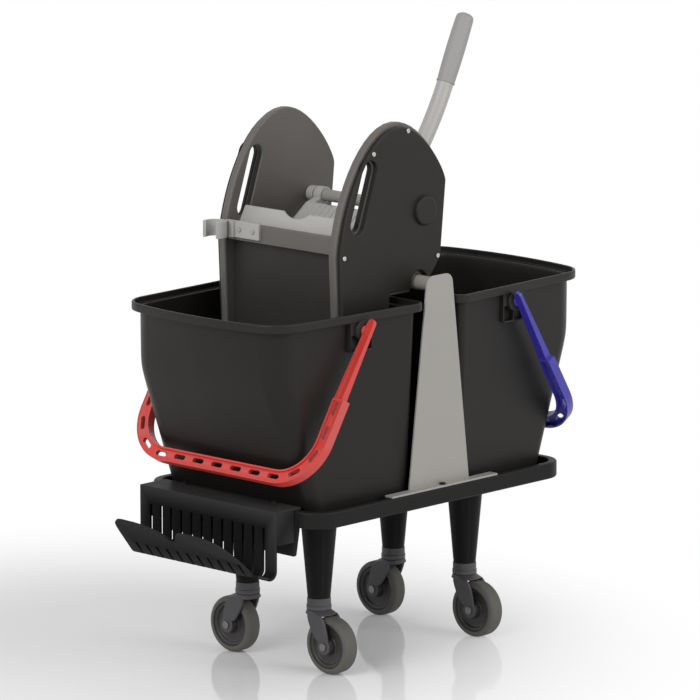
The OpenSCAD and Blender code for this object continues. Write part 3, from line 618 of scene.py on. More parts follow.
def bevel_edges(piece, test, width, segments):
    """Bevels the edges sharper than 30 degrees that pass the test on their middle."""
    edit(piece)
    bpy.ops.mesh.select_mode(type="EDGE")
    bpy.ops.mesh.select_all(action="DESELECT")
    mesh = bmesh.from_edit_mesh(piece.data)
    for line in mesh.edges:
        sharp = len(line.link_faces) == 2 and line.calc_face_angle(0) > math.radians(30)
        if sharp and test((line.verts[0].co + line.verts[1].co) / 2):
            line.select_set(True)
    bmesh.update_edit_mesh(piece.data)
    bpy.ops.mesh.bevel(offset=width, segments=segments, affect="EDGES", clamp_overlap=False)
    bpy.ops.object.mode_set(mode="OBJECT")


def apply_modifier(piece, kind, **settings):
    """Adds a modifier with its settings and applies it."""
    pick(piece)
    bpy.ops.object.modifier_add(type=kind)
    modifier = piece.modifiers[-1]
    for key, value in settings.items():
        setattr(modifier, key, value)
    bpy.ops.object.modifier_apply(modifier=modifier.name)


def soften(piece, width, segments=2, clamp=False):
    """Rounds every edge sharper than 35 degrees."""
    apply_modifier(piece, "BEVEL", width=width, segments=segments, limit_method="ANGLE",
                   angle_limit=math.radians(35), use_clamp_overlap=clamp)


def smooth(piece):
    """Smooth shading whose flat faces stay flat."""
    pick(piece)
    bpy.ops.object.shade_smooth_by_angle(angle=math.radians(40))
    apply_modifier(piece, "WEIGHTED_NORMAL", keep_sharp=True)


def dress(piece, material, slot, *nodes):
    """Gives a piece its finish and the body of its first CAD node, and hides the CAD nodes that it
    stands for.
    """
    smooth(piece)
    piece.data.materials.clear()
    piece.data.materials.append(material)
    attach(piece, BODY_OF[nodes[0]])
    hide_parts(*nodes)
    return piece


def softened(node, width, material, slot, segments=2, clamp=False):
    """A node whose shape is right, with its edges rounded."""
    piece = copy_of(node, f"{node}.moulded")
    soften(piece, width, segments, clamp)
    return dress(piece, material, slot, node)


def join(pieces):
    """Joins separate closed shapes into the first one."""
    begin()
    for piece in pieces:
        piece.select_set(True)
    bpy.context.view_layer.objects.active = pieces[0]
    bpy.ops.object.join()
    return pieces[0]


def cut(piece, tool):
    """Cuts another closed shape out of a piece and removes that shape."""
    apply_modifier(piece, "BOOLEAN", object=tool, operation="DIFFERENCE", solver="EXACT")
    bpy.data.objects.remove(tool)


def face_loops(node, level, shortest):
    """Outlines, as X and Z, of a CAD node's flat face at one place along Y, without short ones."""
    mesh = frame["nodes"][node].data
    lines = set()
    for face in mesh.polygons:
        spots = [mesh.vertices[i].co for i in face.vertices]
        if all(abs(spot.y - level) < LEVEL_GAP for spot in spots):
            corners = [(round(spot.x, 5), round(spot.z, 5)) for spot in spots]
            for first, second in zip(corners, corners[1:] + corners[:1]):
                if (second, first) in lines:
                    lines.remove((second, first))
                else:
                    lines.add((first, second))
    ahead = dict(sorted(lines))
    loops = []
    while ahead:
        first, second = ahead.popitem()
        loop = [first]
        while second != first:
            loop.append(second)
            second = ahead.pop(second)
        if sum(math.dist(a, b) for a, b in zip(loop, loop[1:] + loop[:1])) > shortest:
            loops.append(loop)
    return loops


def slab(name, loops, right, middle, thickness, radius, margin=0):
    """A plate between outlines along a level direction and Z, with round edges, in metres."""
    outline = bpy.data.curves.new(name, "CURVE")
    outline.dimensions = "2D"
    outline.fill_mode = "BOTH"
    outline.extrude = thickness / 2 - radius
    outline.bevel_depth = radius
    outline.bevel_resolution = 4
    outline.offset = -radius - margin
    for loop in loops:
        spline = outline.splines.new("POLY")
        spline.points.add(len(loop) - 1)
        for point, (across, height) in zip(spline.points, loop):
            point.co = (across, height, 0, 1)
        spline.use_cyclic_u = True
    piece = bpy.data.objects.new(name, outline)
    bpy.context.scene.collection.objects.link(piece)
    pick(piece)
    bpy.ops.object.convert(target="MESH")
    piece = bpy.context.object
    up = Vector((0, 0, 1))
    turn = Matrix((right, up, right.cross(up))).transposed()
    piece.matrix_world = Matrix.Translation(middle) @ turn.to_4x4()
    bpy.ops.object.transform_apply(location=True, rotation=True, scale=True)
    edit(piece)
    bpy.ops.mesh.remove_doubles(threshold=CAD_MERGE)
    bpy.ops.mesh.normals_make_consistent(inside=False)
    bpy.ops.object.mode_set(mode="OBJECT")
    return piece


class TROLLEY_OT_tray(bpy.types.Operator):
    """Rounds the tray's rim and the edges of the legs under it"""

    bl_idname = "trolley.tray"
    bl_label = "Tray and legs"

    def execute(self, context):
        softened("tray", sizes().tray_edge, tray_polypropylene(), "black_plastic", segments=3)
        for corner in CORNERS:
            softened(f"leg_{corner}", sizes().mould_edge, leg_polypropylene(), "dark_plastic")
        softened("leg_bolts", sizes().metal_edge, zinc_plate(), "steel")
        return {"FINISHED"}


class TROLLEY_OT_castors(bpy.types.Operator):
    """Models the castor collars, hooded forks, dished hubs and round tyres"""

    bl_idname = "trolley.castors"
    bl_label = "Castors"

    def execute(self, context):
        for corner in CORNERS:
            softened(f"castor_collar_{corner}", sizes().collar_edge, castor_nylon(),
                     "castor_plastic")
            self.fork(corner)
            softened(f"axle_{corner}", sizes().metal_edge, axle_steel(), "steel")
            softened(f"wheel_hub_{corner}", sizes().mould_edge, hub_nylon(), "hub_plastic",
                     segments=3)
            softened(f"tyre_{corner}", sizes().mould_edge, tyre_rubber(), "tyre_rubber",
                     segments=3)
        return {"FINISHED"}

    def fork(self, corner):
        """A hood under the collar, with two broad arms that sweep back to the axle."""
        low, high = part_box(f"castor_collar_{corner}")
        pivot = (low + high) / 2
        low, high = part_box(f"wheel_hub_{corner}")
        back = 1 if (low.y + high.y) / 2 > pivot.y else -1
        pivot.z = 0
        # The hood's outlines: height, centre along the trail, half length, half width, squareness
        rows = [(SWIVEL_Z, 0, 16.4, 16.4, 2),
                (SWIVEL_Z - 0.5, 0, 17.2, 17.2, 2),
                (SWIVEL_Z - 1.2, 0.3, 17.6, 17.6, 2),
                (SWIVEL_Z - 2.4, 1.2, 18.4, 17.8, 2.2),
                (CROWN_LOW + 2.4, 3, 20, CROWN_R, 2.6),
                (CROWN_LOW + 1.2, 3.4, 20.4, CROWN_R, 2.8),
                (CROWN_LOW + 0.4, 3.4, 20.1, CROWN_R - 0.3, 2.8),
                (CROWN_LOW, 3.4, 19.3, CROWN_R - 1, 2.8)]

        def place(column, row):
            height, centre, half_l, half_w, square = rows[row]
            angle = 2 * math.pi * column / HOOD_STEPS
            wide, far = [math.copysign(abs(v) ** (2 / square), v)
                         for v in (math.cos(angle), math.sin(angle))]
            return pivot + Vector((half_w * wide, back * (centre + half_l * far), height)) * MM

        hood = wrapped_grid(f"castor_fork_{corner}.moulded", HOOD_STEPS, len(rows), place)
        # The arm's edges, as places along the trail and heights
        front_edge = [(-6, 84.2), (-6.6, 79), (-4.4, 72), (-1, 64), (4, 55.5), (9.5, 48.5)]
        rear_edge = [(32.6, 53), (30.4, 62), (27.6, 71), (24, 77), (19.6, 81.6), (13, 84.2)]
        tip = arc(TRAIL, AXLE_Z, sizes().fork_tip / MM, FORK_TIP_FROM, FORK_TIP_TO, 24)
        loop = [(along * MM, height * MM) for along, height in front_edge + tip + rear_edge]
        arms = []
        for side in (-1, 1):
            middle = pivot + Vector((side * (FORK_IN + FORK_T / 2) * MM, 0, 0))
            arms.append(slab("arm", [loop], Vector((0, back, 0)), middle, FORK_T * MM,
                             sizes().fork_edge))
        dress(join([hood, *arms]), castor_nylon(), "castor_plastic", f"castor_fork_{corner}")


class TROLLEY_OT_uprights(bpy.types.Operator):
    """Rounds the cut edges of the uprights, the cross bar and their screws"""

    bl_idname = "trolley.uprights"
    bl_label = "Uprights and bar"

    def execute(self, context):
        for side in SIDES:
            softened(f"upright_{side}", sizes().sheet_edge, grey_powder_coat(), "grey_frame")
        softened("upright_screws", sizes().metal_edge, black_powder_coat(), "steel")
        softened("cross_bar", sizes().sheet_edge, grey_powder_coat(), "grey_frame")
        return {"FINISHED"}


class TROLLEY_OT_rack(bpy.types.Operator):
    """Rounds the cut edges of the slotted rack"""

    bl_idname = "trolley.rack"
    bl_label = "Rack"

    def execute(self, context):
        softened("rack", sizes().sheet_edge, black_powder_coat(), "rack_sheet")
        softened("rack_screws", sizes().metal_edge, black_powder_coat(), "steel")
        return {"FINISHED"}


class TROLLEY_OT_buckets(bpy.types.Operator):
    """Lofts the two buckets with rounded base, knee, corners and rim"""

    bl_idname = "trolley.buckets"
    bl_label = "Buckets"

    def execute(self, context):
        for end, sign in zip(ENDS, (-1, 1)):
            rows = self.outlines()

            def place(column, row):
                x, y, z = rows[row][column]
                return at(sign * x, y, z)

            shell = wrapped_grid(f"bucket_{end}.moulded", len(rows[0]), len(rows), place)
            lugs = [self.lug(sign, side) for side in (-1, 1)]
            bosses = [self.boss(sign, side) for side in (-1, 1)]
            piece = join([shell, *lugs, *bosses])
            dress(piece, black_polypropylene(), "black_plastic", f"bucket_{end}")
        return {"FINISHED"}

    def outline(self, z, inner, outer, half_in, half_out, corner_in, corner_out, bulge):
        """Outline at one height: straight sides, round corners and a bulging outer end along +X."""
        flat = half_out - corner_out
        lean = math.atan(2 * bulge / flat)
        turn = math.degrees(lean)
        tip = outer + bulge
        drop = tip - outer + corner_out * (1 - math.cos(lean))
        reach = flat + corner_out * math.sin(lean)
        points = arc(inner + corner_in, corner_in - half_in, corner_in, 180, 270, INNER_STEPS)
        points += arc(outer - corner_out, -flat, corner_out, 270, 360 - turn, OUTER_STEPS)
        points += [(tip - drop * k * k / END_STEPS ** 2, k / END_STEPS * reach)
                   for k in range(1 - END_STEPS, END_STEPS)]
        points += arc(outer - corner_out, flat, corner_out, turn, 90, OUTER_STEPS)
        points += arc(inner + corner_in, half_in - corner_in, corner_in, 90, 180, INNER_STEPS)
        return [(x, y, z) for x, y in points]

    def wall(self, z, inset, height=None):
        """Wall outline, drawn in by an inset; its sloping end turns upright in a soft knee."""
        rise = (z - BUCKET_LOW) / (BAND_LOW - BUCKET_LOW)
        knee = WALL_OUT - KNEE_IN
        upper = knee + KNEE_IN * (z - KNEE_Z) / (BAND_LOW - KNEE_Z)
        lower = knee - (BUCKET_SLOPE - KNEE_IN) * (KNEE_Z - z) / (KNEE_Z - BUCKET_LOW)
        blend = math.log(1 + math.exp(-abs(upper - lower) / KNEE_SOFT))
        outer = min(upper, lower) - KNEE_SOFT * blend
        return self.outline(
            z if height is None else height,
            WALL_IN + DRAFT_INNER * (1 - rise) + inset,
            outer - inset,
            WALL_HALF_IN - DRAFT_HALF_IN * (1 - rise) - inset,
            WALL_HALF_OUT - DRAFT_HALF_OUT * (1 - rise) - inset,
            WALL_CORNER_IN - inset,
            WALL_CORNER_LOW + (WALL_CORNER - WALL_CORNER_LOW) * rise - inset,
            WALL_BULGE * rise * rise,
        )

    def rim(self, z, inset):
        """Rim outline, drawn in by an inset."""
        return self.outline(z, WALL_IN - RIM_OUT + inset, WALL_OUT + RIM_OUT - inset,
                            WALL_HALF_IN + RIM_OUT - inset, WALL_HALF_OUT + RIM_OUT - inset,
                            RIM_CORNER_IN - inset, RIM_CORNER - inset, RIM_BULGE)

    def outlines(self):
        """Outlines from the base up the outside, over the rim and down the inside."""
        edge = sizes().base_edge / MM
        bends = [math.radians(90 * k / BASE_STEPS) for k in range(BASE_STEPS + 1)]
        base = [(edge * (1 - math.cos(a)), edge * (1 - math.sin(a))) for a in bends]
        # Levels up the wall, closer together at the knee
        levels = [262, 290, 320, 350, 380, 400, 412, 420, KNEE_Z, 434, 442, 455, 475, 495,
                  BAND_LOW - 1]
        # The band's lower edge, as heights above it and insets, and its top with the step inside
        band_foot = [(0, RIM_OUT - 0.5), (0, 1.6), (0.5, 0.5), (1.6, 0)]
        band_head = [(2, 0), (0.9, 0.3), (0.3, 0.9), (0, 1.7), (0, 2.6), (0.3, 3.4), (1, 4),
                     (7, 4), (7.7, 4.4), (8, 5.2), (8, 12.6), (8.4, 13.6), (9.4, 14)]
        rows = [self.wall(BUCKET_LOW + up, inset) for up, inset in base]
        rows += [self.wall(z, 0) for z in levels]
        rows += [self.rim(BAND_LOW + up, inset) for up, inset in band_foot]
        rows += [self.rim(BUCKET_TOP - drop, inset) for drop, inset in band_head]
        rows += [self.wall(z, BUCKET_WALL) for z in reversed(levels)]
        rows += [self.wall(BUCKET_LOW + up, inset + BUCKET_WALL, BUCKET_LOW + BUCKET_WALL + up)
                 for up, inset in reversed(base)]
        return rows

    def lug(self, sign, side):
        """The block under the rim that carries the handle's pivot, with two moulded pockets."""
        depth = LUG_OUT - BOSS_H - LUG_IN
        height = BAND_LOW - LUG_LOW
        block = self.block(at(sign * PIVOT_X, side * (LUG_IN + depth / 2), LUG_LOW + height / 2),
                           (LUG_W, depth, height))
        middle = side * (LUG_IN + depth / 2) * MM

        def lower_corner(spot):
            return abs(spot.y - middle) < MIDDLE_GAP and spot.z < (LUG_LOW + 2 * LUG_CORNER) * MM

        bevel_edges(block, lower_corner, LUG_CORNER * MM, 4)
        cut(block, turned("pin_hole", [(BORE_R, -HOLE_TOOL), (BORE_R, HOLE_TOOL)],
                          at(sign * PIVOT_X, side * LUG_OUT, PIVOT_Z), Vector((0, side, 0)), 32))
        for shift in (-POCKET_SHIFT, POCKET_SHIFT):
            spot = at(sign * PIVOT_X + shift, side * (LUG_IN + depth), LUG_LOW + POCKET_UP)
            cut(block, self.block(spot, POCKET))
        soften(block, LUG_EDGE * MM, clamp=True)
        return block

    def block(self, middle, size):
        """A box of a size in millimetres."""
        begin()
        bpy.ops.mesh.primitive_cube_add(size=1, location=middle, scale=[side * MM for side in size])
        bpy.ops.object.transform_apply(location=True, rotation=True, scale=True)
        return bpy.context.object

    def boss(self, sign, side):
        """The round boss on the lug, with the bore that the handle's pin turns in."""
        profile = [(BORE_R, 0), (BOSS_R, 0), (BOSS_R, BOSS_H - 1.6), (BOSS_R - 0.5, BOSS_H - 0.5),
                   (BOSS_R - 1.5, BOSS_H), (BORE_R, BOSS_H), (BORE_R, 0)]
        return turned("boss", profile, at(sign * PIVOT_X, side * (LUG_OUT - BOSS_H), PIVOT_Z),
                      Vector((0, side, 0)), 40)


class TROLLEY_OT_handles(bpy.types.Operator):
    """Models the two carry handles"""

    bl_idname = "trolley.handles"
    bl_label = "Carry handles"

    def execute(self, context):
        self.handle("front", -1, red_polypropylene(), "red_plastic")
        self.handle("rear", 1, blue_polypropylene(), "blue_plastic")
        return {"FINISHED"}

    def handle(self, end, sign, material, slot):
        """A strap swept round the handle's path, with slots cut through its grip."""
        path = self.path()

        def place(column, row):
            along, across, turn, section = path[row]
            out, lift = section[column]
            return self.at_rest(sign, along + out * math.sin(turn),
                                across - out * math.cos(turn), lift)

        strap = wrapped_grid(f"bail_{end}.moulded", len(path[0][3]), len(path), place)
        cut(strap, join([self.slot_tool(sign, *spot) for spot in self.slots()]))
        soften(strap, HANDLE_EDGE * MM, clamp=True)
        # Each pin has a shoulder between the bucket's boss and the arm
        shoulder = LUG_OUT + SHOULDER_GAP - PIN_END
        pin = [(PIN_R, 0), (PIN_R, shoulder), (SHOULDER_R - SHOULDER_EDGE, shoulder),
               (SHOULDER_R, shoulder + SHOULDER_EDGE), (SHOULDER_R, PIN_ROOT - PIN_END)]
        pins = [turned("pin", pin, at(sign * PIVOT_X, s * PIN_END, PIVOT_Z), Vector((0, s, 0)), 32)
                for s in (-1, 1)]
        dress(join([strap, *pins]), material, slot, f"bail_{end}")

    def at_rest(self, sign, along, across, lift):
        """A point of the flat handle, hung at its resting angle."""
        down, out = math.cos(BAIL_REST), math.sin(BAIL_REST)
        away = PIVOT_X + along * out + lift * down
        return at(sign * away, across, PIVOT_Z - along * down + lift * out)

    def path(self):
        """Stations as along, across, turn and outline, from one pivot round to the other."""
        straight = BAIL_L - BAIL_R
        side = BAIL_HALF - BAIL_R
        step = ARM_STEP_W / 2 - ARM_STEP_IN
        edge = GRIP_STEP + GRIP_EDGE_W
        arm = [(0, self.arm_section(ARM_W / 2 + ARM_SPREAD, True, ARM_RISE)),
               (GRIP_STEP - CHANNEL_END, self.arm_section(step, True, 1)),
               (GRIP_STEP - RAMP, self.arm_section(step, False, 1)),
               (GRIP_STEP, self.grip_section(False)),
               (edge, self.grip_section(False)),
               (edge + RAMP, self.grip_section(True))]
        right = self.arm_end() + [(along, -BAIL_HALF, 0, section) for along, section in arm]
        for k in range(BAIL_STEPS + 1):
            turn = math.radians(90 * k / BAIL_STEPS)
            right.append((straight + BAIL_R * math.sin(turn), -side - BAIL_R * math.cos(turn), turn,
                          self.grip_section(True)))
        left = [(along, -across, math.pi - turn, section)
                for along, across, turn, section in reversed(right)]
        return right + left

    def arm_end(self):
        """The arm's round top, with a rim of even width round the end of its channel."""
        r = ARM_W / 2
        channel = r - sizes().rail_width / MM
        stations = []
        for angle in (15, 28, 38, 46):
            a = math.radians(angle)
            stations.append((r * (1 - math.cos(a)) - ARM_TAIL, -BAIL_HALF, 0,
                             self.arm_section(r * math.sin(a), False, 0)))
        for angle in (18, 40, 62, 90):
            a = math.radians(angle)
            reach = r - channel * math.cos(a)
            w = math.sqrt(r * r - (r - reach) ** 2)
            stations.append((reach - ARM_TAIL, -BAIL_HALF, 0,
                             self.arm_section(w, True, 0, w - channel * math.sin(a))))
        return stations

    def section(self, half, shift, face, rails, floor, behind):
        """Outline across the strap: a back with a channel, a face with two rails and a floor."""
        inner, outer = rails
        rail = half - inner
        points = [(-half, -face), (-rail, -face), (-rail, behind), (rail, behind), (rail, -face),
                  (half, -face), (half, face), (half - outer, face), *floor, (inner - half, face),
                  (-half, face)]
        return [(out + shift, lift) for out, lift in points]

    def arm_section(self, half, hollow, rise, rim=None):
        """The arm thickens towards the grip, whose inner edge it meets; its floor leans inwards."""
        face = ARM_T / 2 + ARM_SWELL * (GRIP_T - ARM_T) * rise
        inner = rim or min(sizes().rail_width / MM, half / 2)
        outer = rim or inner / 2
        deep = sizes().rail_depth / MM if hollow else CLOSED
        floor = [(half - outer, face - CHANNEL_OUTER * deep), (0, face - CHANNEL_MIDDLE * deep),
                 (inner - half, face - deep)]
        shift = (half + ARM_INSIDE - GRIP_W / 2) * rise
        return self.section(half, shift, face, (inner, outer), floor, deep - face)

    def grip_section(self, hollow):
        """A groove beside the grip's inner rail; the slotted web reaches out to its outer edge."""
        w = GRIP_W / 2
        t = GRIP_T / 2
        outer = GRIP_EDGE_W / 2
        groove = GRIP_EDGE_W + GROOVE_W
        deep = sizes().groove_depth / MM if hollow else CLOSED
        web = WEB_DROP * deep
        floor = [(w - outer, t - web + min(WEB_CROWN, web / 2)), (groove - w, t - web),
                 (GRIP_EDGE_W - w, t - deep)]
        behind = t - GRIP_EDGE_H - WEB_T if hollow else CLOSED - t
        return self.section(w, 0, t, (GRIP_EDGE_W, outer), floor, behind)

    def slots(self):
        """Places of the slots as along, across and turn, evenly along the middle line."""
        straight = BAIL_L - BAIL_R
        side = BAIL_HALF - BAIL_R
        bend = BAIL_R * math.pi / 2
        places = []
        for k in range(-GRIP_SLOTS, GRIP_SLOTS + 1):
            reach = abs(k) * GRIP_PITCH
            s = -1 if k < 0 else 1
            if reach <= side:
                places.append((BAIL_L, s * reach, math.pi / 2))
            elif reach <= side + bend:
                a = (reach - side) / BAIL_R
                places.append((straight + BAIL_R * math.cos(a), s * (side + BAIL_R * math.sin(a)),
                               s * (a + math.pi / 2)))
            else:
                places.append((straight + side + bend - reach, s * BAIL_HALF, 0))
        return places

    def slot_tool(self, sign, along, across, turn):
        """A rounded prism that cuts one slot."""
        half = (SLOT_L - SLOT_W) / 2
        shape = arc(half, 0, SLOT_W / 2, -90, 90, 12) + arc(-half, 0, SLOT_W / 2, 90, 270, 12)

        def place(column, row):
            x, y = shape[column]
            lift = (-SLOT_TOOL, SLOT_TOOL)[row]
            return self.at_rest(sign, along + x * math.cos(turn) - y * math.sin(turn),
                                across + x * math.sin(turn) + y * math.cos(turn), lift)

        return wrapped_grid("slot_tool", len(shape), 2, place)


class TROLLEY_OT_wringer(bpy.types.Operator):
    """Models the wringer's plates, covers, basket and rails"""

    bl_idname = "trolley.wringer"
    bl_label = "Wringer"

    def execute(self, context):
        for side in SIDES:
            self.plate(side)
            self.cover(side)
            softened(f"cover_rivets_{side}", sizes().metal_edge, zinc_plate(), "steel")
            self.cap(side)
        softened("front_rail", sizes().mould_edge, charcoal_polypropylene(), "dark_plastic")
        softened("front_panel", sizes().metal_edge, cover_polypropylene(), "dark_plastic")
        softened("basket_wall", sizes().sheet_edge, grey_polypropylene(), "light_plastic")
        softened("basket_floor_plate", sizes().sheet_edge, grey_polypropylene(), "light_plastic")
        softened("mop_clip", sizes().clip_edge, grey_polypropylene(), "light_plastic",
                 segments=3, clamp=True)
        softened("clip_screws", sizes().metal_edge, lever_powder_coat(), "steel")
        return {"FINISHED"}

    def plate(self, side):
        """A side plate with rounded edges all round, and the walls of its hand slot given the
        darker cover finish as painted shade.
        """
        low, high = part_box(f"side_plate_{side}")
        inner = low.y if side == "left" else high.y
        loops = face_loops(f"side_plate_{side}", inner, SMALL_HOLE * MM)
        piece = slab(f"side_plate_{side}.moulded", loops, Vector((1, 0, 0)),
                     Vector((0, (low.y + high.y) / 2, 0)), high.y - low.y, sizes().plate_edge)
        dress(piece, charcoal_polypropylene(), "dark_plastic", f"side_plate_{side}")
        # A second, darker finish, painted onto the hand slot's walls as shade
        piece.data.materials.append(cover_polypropylene())
        self.shade_slot_walls(piece, loops)

    def shade_slot_walls(self, piece, loops):
        """Gives the plate's second, darker finish to the walls of its tallest opening, the hand
        slot, as painted shade.
        """

        def tallness(loop):
            return max(z for x, z in loop) - min(z for x, z in loop)

        slot = sorted(loops, key=tallness)[-2]
        reach = 2 * sizes().plate_edge
        left = min(x for x, z in slot) - reach
        right = max(x for x, z in slot) + reach
        foot = min(z for x, z in slot) - reach
        head = max(z for x, z in slot) + reach
        middle = Vector(((left + right) / 2, 0, (foot + head) / 2))
        for face in piece.data.polygons:
            spot = face.center
            near = left < spot.x < right and foot < spot.z < head
            wall = abs(face.normal.y) < SLOT_TILT
            inwards = (middle - spot).dot(Vector((face.normal.x, 0, face.normal.z))) > 0
            if near and wall and inwards:
                # The slot's wall takes the darker finish as painted shade
                face.material_index = 1

    def cover(self, side):
        """A cover that stands back a little from its plate's edge, with a softened hand slot."""
        low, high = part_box(f"side_cover_{side}")
        outer = high.y if side == "left" else low.y
        loops = face_loops(f"side_cover_{side}", outer, SMALL_HOLE * MM)
        piece = slab(f"side_cover_{side}.moulded", loops, Vector((1, 0, 0)),
                     Vector((0, (low.y + high.y) / 2, 0)), high.y - low.y,
                     sizes().cover_edge, sizes().cover_margin)
        dress(piece, cover_polypropylene(), "dark_plastic", f"side_cover_{side}")

    def cap(self, side):
        """The bearing's cap: a flat disc with a broad round edge."""
        low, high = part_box(f"shaft_cap_{side}")
        middle = (low + high) / 2
        out = 1 if side == "left" else -1
        middle.y = low.y if side == "left" else high.y
        r = (high.x - low.x) / 2 / MM
        h = (high.y - low.y) / MM
        edge = CAP_ROUND * h
        profile = [(r, 0)]
        profile += [(r - edge + u, h - edge + v) for u, v in arc(0, 0, edge, 0, 90, 8)]
        profile.append((0, h))
        piece = turned(f"shaft_cap_{side}.moulded", profile, middle, Vector((0, out, 0)))
        dress(piece, cover_polypropylene(), "dark_plastic", f"shaft_cap_{side}")


class TROLLEY_OT_press(bpy.types.Operator):
    """Models the press plate, its shaft and the bent lever"""

    bl_idname = "trolley.press"
    bl_label = "Press and lever"

    def execute(self, context):
        softened("press_shaft", sizes().metal_edge, grey_powder_coat(), "light_plastic")
        softened("shaft_collars", sizes().sheet_edge, grey_polypropylene(), "light_plastic")
        softened("press_plate", sizes().sheet_edge, grey_polypropylene(), "light_plastic")
        self.tube()
        self.grip()
        return {"FINISHED"}

    def way(self):
        """Start, knee and end of the lever in X and Z, with the directions of its two parts."""
        lower = Vector((math.sin(LEVER_LOW_A), math.cos(LEVER_LOW_A)))
        upper = Vector((math.sin(LEVER_UP_A), math.cos(LEVER_UP_A)))
        shaft = Vector((SHAFT_X, SHAFT_Z))
        knee = shaft + LEVER_LOW * lower
        return shaft, knee, knee + LEVER_UP * upper, lower, upper

    def tube(self):
        """The lever's tube, bent smoothly at its knee, on a clamp ring round the shaft."""
        shaft, knee, tip, lower, upper = self.way()
        bend = sizes().lever_bend / MM
        first = knee - bend * lower
        last = knee + bend * upper
        line = [shaft + TUBE_START * lower, first]
        for k in range(1, BEND_STEPS):
            t = k / BEND_STEPS
            line.append(first * (1 - t) ** 2 + knee * 2 * t * (1 - t) + last * t ** 2)
        line += [last, tip - TUBE_SHORT * upper]

        def place(column, row):
            ahead = (line[min(row + 1, len(line) - 1)] - line[max(row - 1, 0)]).normalized()
            angle = 2 * math.pi * column / LEVER_STEPS
            across = LEVER_D / 2 * math.cos(angle)
            point = line[row] + LEVER_D / 2 * math.sin(angle) * Vector((ahead.y, -ahead.x))
            return at(point.x, -LEVER_Y + across, point.y)

        tube = wrapped_grid("lever_tube.bent", LEVER_STEPS, len(line), place)
        bore = SHAFT_D / 2 + TUBE_GAP
        wide = SHAFT_D / 2 + CLAMP_WALL
        flat = CLAMP_HALF - CLAMP_EDGE
        ring = [(bore, -CLAMP_HALF), (wide - CLAMP_EDGE, -CLAMP_HALF), (wide, -flat), (wide, flat),
                (wide - CLAMP_EDGE, CLAMP_HALF), (bore, CLAMP_HALF), (bore, -CLAMP_HALF)]
        clamp = turned("clamp", ring, at(shaft.x, -LEVER_Y, shaft.y), Vector((0, 1, 0)))
        dress(join([tube, clamp]), lever_powder_coat(), "light_plastic", "lever_tube")

    def grip(self):
        """The lever's grip: a slight barrel with a rolled lower edge and a domed end."""
        shaft, knee, tip, lower, upper = self.way()
        foot = tip - GRIP_L * upper
        bore = LEVER_D / 2 + TUBE_GAP
        rolled = GRIP_R - 0.5
        barrel = GRIP_R - 0.9
        dome_h = 7
        profile = [(bore, TUBE_SHORT), (bore, 0), (rolled - 0.6, 0), (rolled, 0.6), (rolled, 2.6),
                   (barrel - 0.2, 3.6)]
        profile += [(barrel + 0.8 * math.sin(math.pi * k / 9), 4 + 10 * k) for k in range(1, 10)]
        for k in range(10):
            a = math.radians(9 * k)
            profile.append((barrel - 0.4 - 12.4 * (1 - math.cos(a)),
                            GRIP_L - dome_h + dome_h * math.sin(a)))
        profile.append((0, GRIP_L))
        piece = turned("lever_grip.moulded", profile, at(foot.x, -LEVER_Y, foot.y),
                       Vector((upper.x, 0, upper.y)))
        dress(piece, grip_vinyl(), "grip_plastic", "lever_grip")


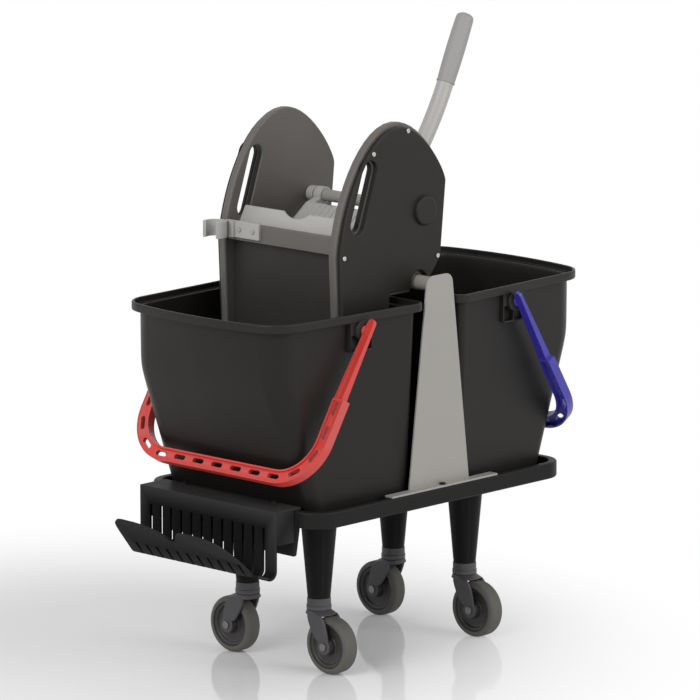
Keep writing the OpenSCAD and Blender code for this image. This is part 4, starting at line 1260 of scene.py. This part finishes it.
class TROLLEY_OT_stage(bpy.types.Operator):
    """Sets up the pale floor, the soft lamps and the camera"""

    bl_idname = "trolley.stage"
    bl_label = "Stage"

    def execute(self, context):
        stage = context.scene.trolley_stage
        self.floor()
        self.world(stage.ambient)
        aim = (cad_low + cad_high) / 2
        self.lamp("key_lamp", KEY_PLACE, aim, stage.key_power)
        self.lamp("fill_lamp", FILL_PLACE, aim, stage.fill_power)
        data = bpy.data.cameras.new("camera")
        data.lens = stage.lens
        data.sensor_width = SENSOR
        data.clip_end = CLIP_END
        camera = bpy.data.objects.new("camera", data)
        camera.location = stage.camera_place
        level = math.cos(stage.elevation)
        forward = Vector((-math.sin(stage.azimuth) * level, math.cos(stage.azimuth) * level,
                          -math.sin(stage.elevation)))
        camera.rotation_euler = forward.to_track_quat("-Z", "Y").to_euler()
        context.scene.collection.objects.link(camera)
        context.scene.camera = camera
        context.scene.view_settings.view_transform = "Standard"
        return {"FINISHED"}

    def lamp(self, name, place, aim, power):
        """A large soft lamp turned to its aim."""
        data = bpy.data.lights.new(name, "AREA")
        data.size = LAMP_SIZE
        data.energy = power
        lamp = bpy.data.objects.new(name, data)
        lamp.location = place
        lamp.rotation_euler = (aim - place).to_track_quat("-Z", "Y").to_euler()
        bpy.context.scene.collection.objects.link(lamp)

    def floor(self):
        """A pale, slightly polished floor that runs out to white away from the trolley."""
        begin()
        bpy.ops.mesh.primitive_plane_add(size=FLOOR_SIZE, location=(0, 0, -FLOOR_DROP))
        plane = bpy.context.object
        plane.name = "floor"
        material = bpy.data.materials.new("polished white floor")
        material.use_nodes = True
        tree = material.node_tree
        tree.nodes.clear()
        coords = add(tree, "ShaderNodeTexCoord").outputs["Object"]
        reach = add(tree, "ShaderNodeVectorMath", {0: coords, 1: FLOOR_GREY_PLACE},
                    operation="DISTANCE")
        away = add(tree, "ShaderNodeMapRange",
                   {"Value": reach.outputs["Value"],
                    "From Min": FLOOR_GREY_R, "From Max": FLOOR_WHITE_R},
                   interpolation_type="SMOOTHSTEP")
        white = add(tree, "ShaderNodeMath", {0: away.outputs["Result"], 1: self.shown(tree)},
                    operation="MULTIPLY")
        polish = add(tree, "ShaderNodeBsdfPrincipled",
                     {"Base Color": srgb("#f4f4f5"), "Roughness": 0.08, "Specular IOR Level": 0.1})
        glow = add(tree, "ShaderNodeEmission", {"Color": (1, 1, 1, 1), "Strength": 1.0})
        mixed = add(tree, "ShaderNodeMixShader",
                    {0: white.outputs["Value"], 1: polish.outputs["BSDF"],
                     2: glow.outputs["Emission"]})
        add(tree, "ShaderNodeOutputMaterial", {"Surface": mixed.outputs["Shader"]})
        plane.data.materials.append(material)

    def shown(self, tree):
        """One where the camera sees a place, mirrored or through glass too, and nought as light."""
        seen = add(tree, "ShaderNodeLightPath")
        mirrored = add(tree, "ShaderNodeMath",
                       {0: seen.outputs["Is Camera Ray"], 1: seen.outputs["Is Glossy Ray"]},
                       operation="ADD", use_clamp=True)
        through = add(tree, "ShaderNodeMath",
                      {0: mirrored.outputs["Value"], 1: seen.outputs["Is Transmission Ray"]},
                      operation="ADD", use_clamp=True)
        return through.outputs["Value"]

    def world(self, ambient):
        """White to the camera and in reflections, a plain soft level as light."""
        world = bpy.data.worlds.new("studio")
        bpy.context.scene.world = world
        world.use_nodes = True
        tree = world.node_tree
        tree.nodes.clear()
        level = add(tree, "ShaderNodeMapRange",
                    {"Value": self.shown(tree), "To Min": ambient, "To Max": 1.0})
        light = add(tree, "ShaderNodeBackground",
                    {"Color": (1, 1, 1, 1), "Strength": level.outputs["Result"]})
        add(tree, "ShaderNodeOutputWorld", {"Surface": light.outputs["Background"]})


OPERATORS = (
    TROLLEY_OT_tray,
    TROLLEY_OT_castors,
    TROLLEY_OT_uprights,
    TROLLEY_OT_rack,
    TROLLEY_OT_buckets,
    TROLLEY_OT_handles,
    TROLLEY_OT_wringer,
    TROLLEY_OT_press,
    TROLLEY_OT_stage,
)


class TROLLEY_PT_panel(bpy.types.Panel):
    """Lists the trolley's operators and sizes"""

    bl_idname = "TROLLEY_PT_panel"
    bl_label = "Mop bucket trolley"
    bl_space_type = "VIEW_3D"
    bl_region_type = "UI"
    bl_category = "Trolley"

    def draw(self, context):
        for operator in OPERATORS:
            self.layout.operator(operator.bl_idname)
        scene = context.scene
        for group in (scene.trolley_sizes, scene.trolley_colours, scene.trolley_stage):
            for name in group.__annotations__:
                self.layout.prop(group, name)


CLASSES = (TrolleyColours, TrolleySizes, StageSettings, *OPERATORS, TROLLEY_PT_panel)


def register():
    for kind in CLASSES:
        bpy.utils.register_class(kind)
    bpy.types.Scene.trolley_colours = PointerProperty(type=TrolleyColours)
    bpy.types.Scene.trolley_sizes = PointerProperty(type=TrolleySizes)
    bpy.types.Scene.trolley_stage = PointerProperty(type=StageSettings)


def unregister():
    del bpy.types.Scene.trolley_stage
    del bpy.types.Scene.trolley_sizes
    del bpy.types.Scene.trolley_colours
    for kind in reversed(CLASSES):
        bpy.utils.unregister_class(kind)


def main():
    register()
    bpy.ops.trolley.tray()
    bpy.ops.trolley.castors()
    bpy.ops.trolley.uprights()
    bpy.ops.trolley.rack()
    bpy.ops.trolley.buckets()
    bpy.ops.trolley.handles()
    bpy.ops.trolley.wringer()
    bpy.ops.trolley.press()
    bpy.ops.trolley.stage()
    begin()


if __name__ == "__main__":
    main()
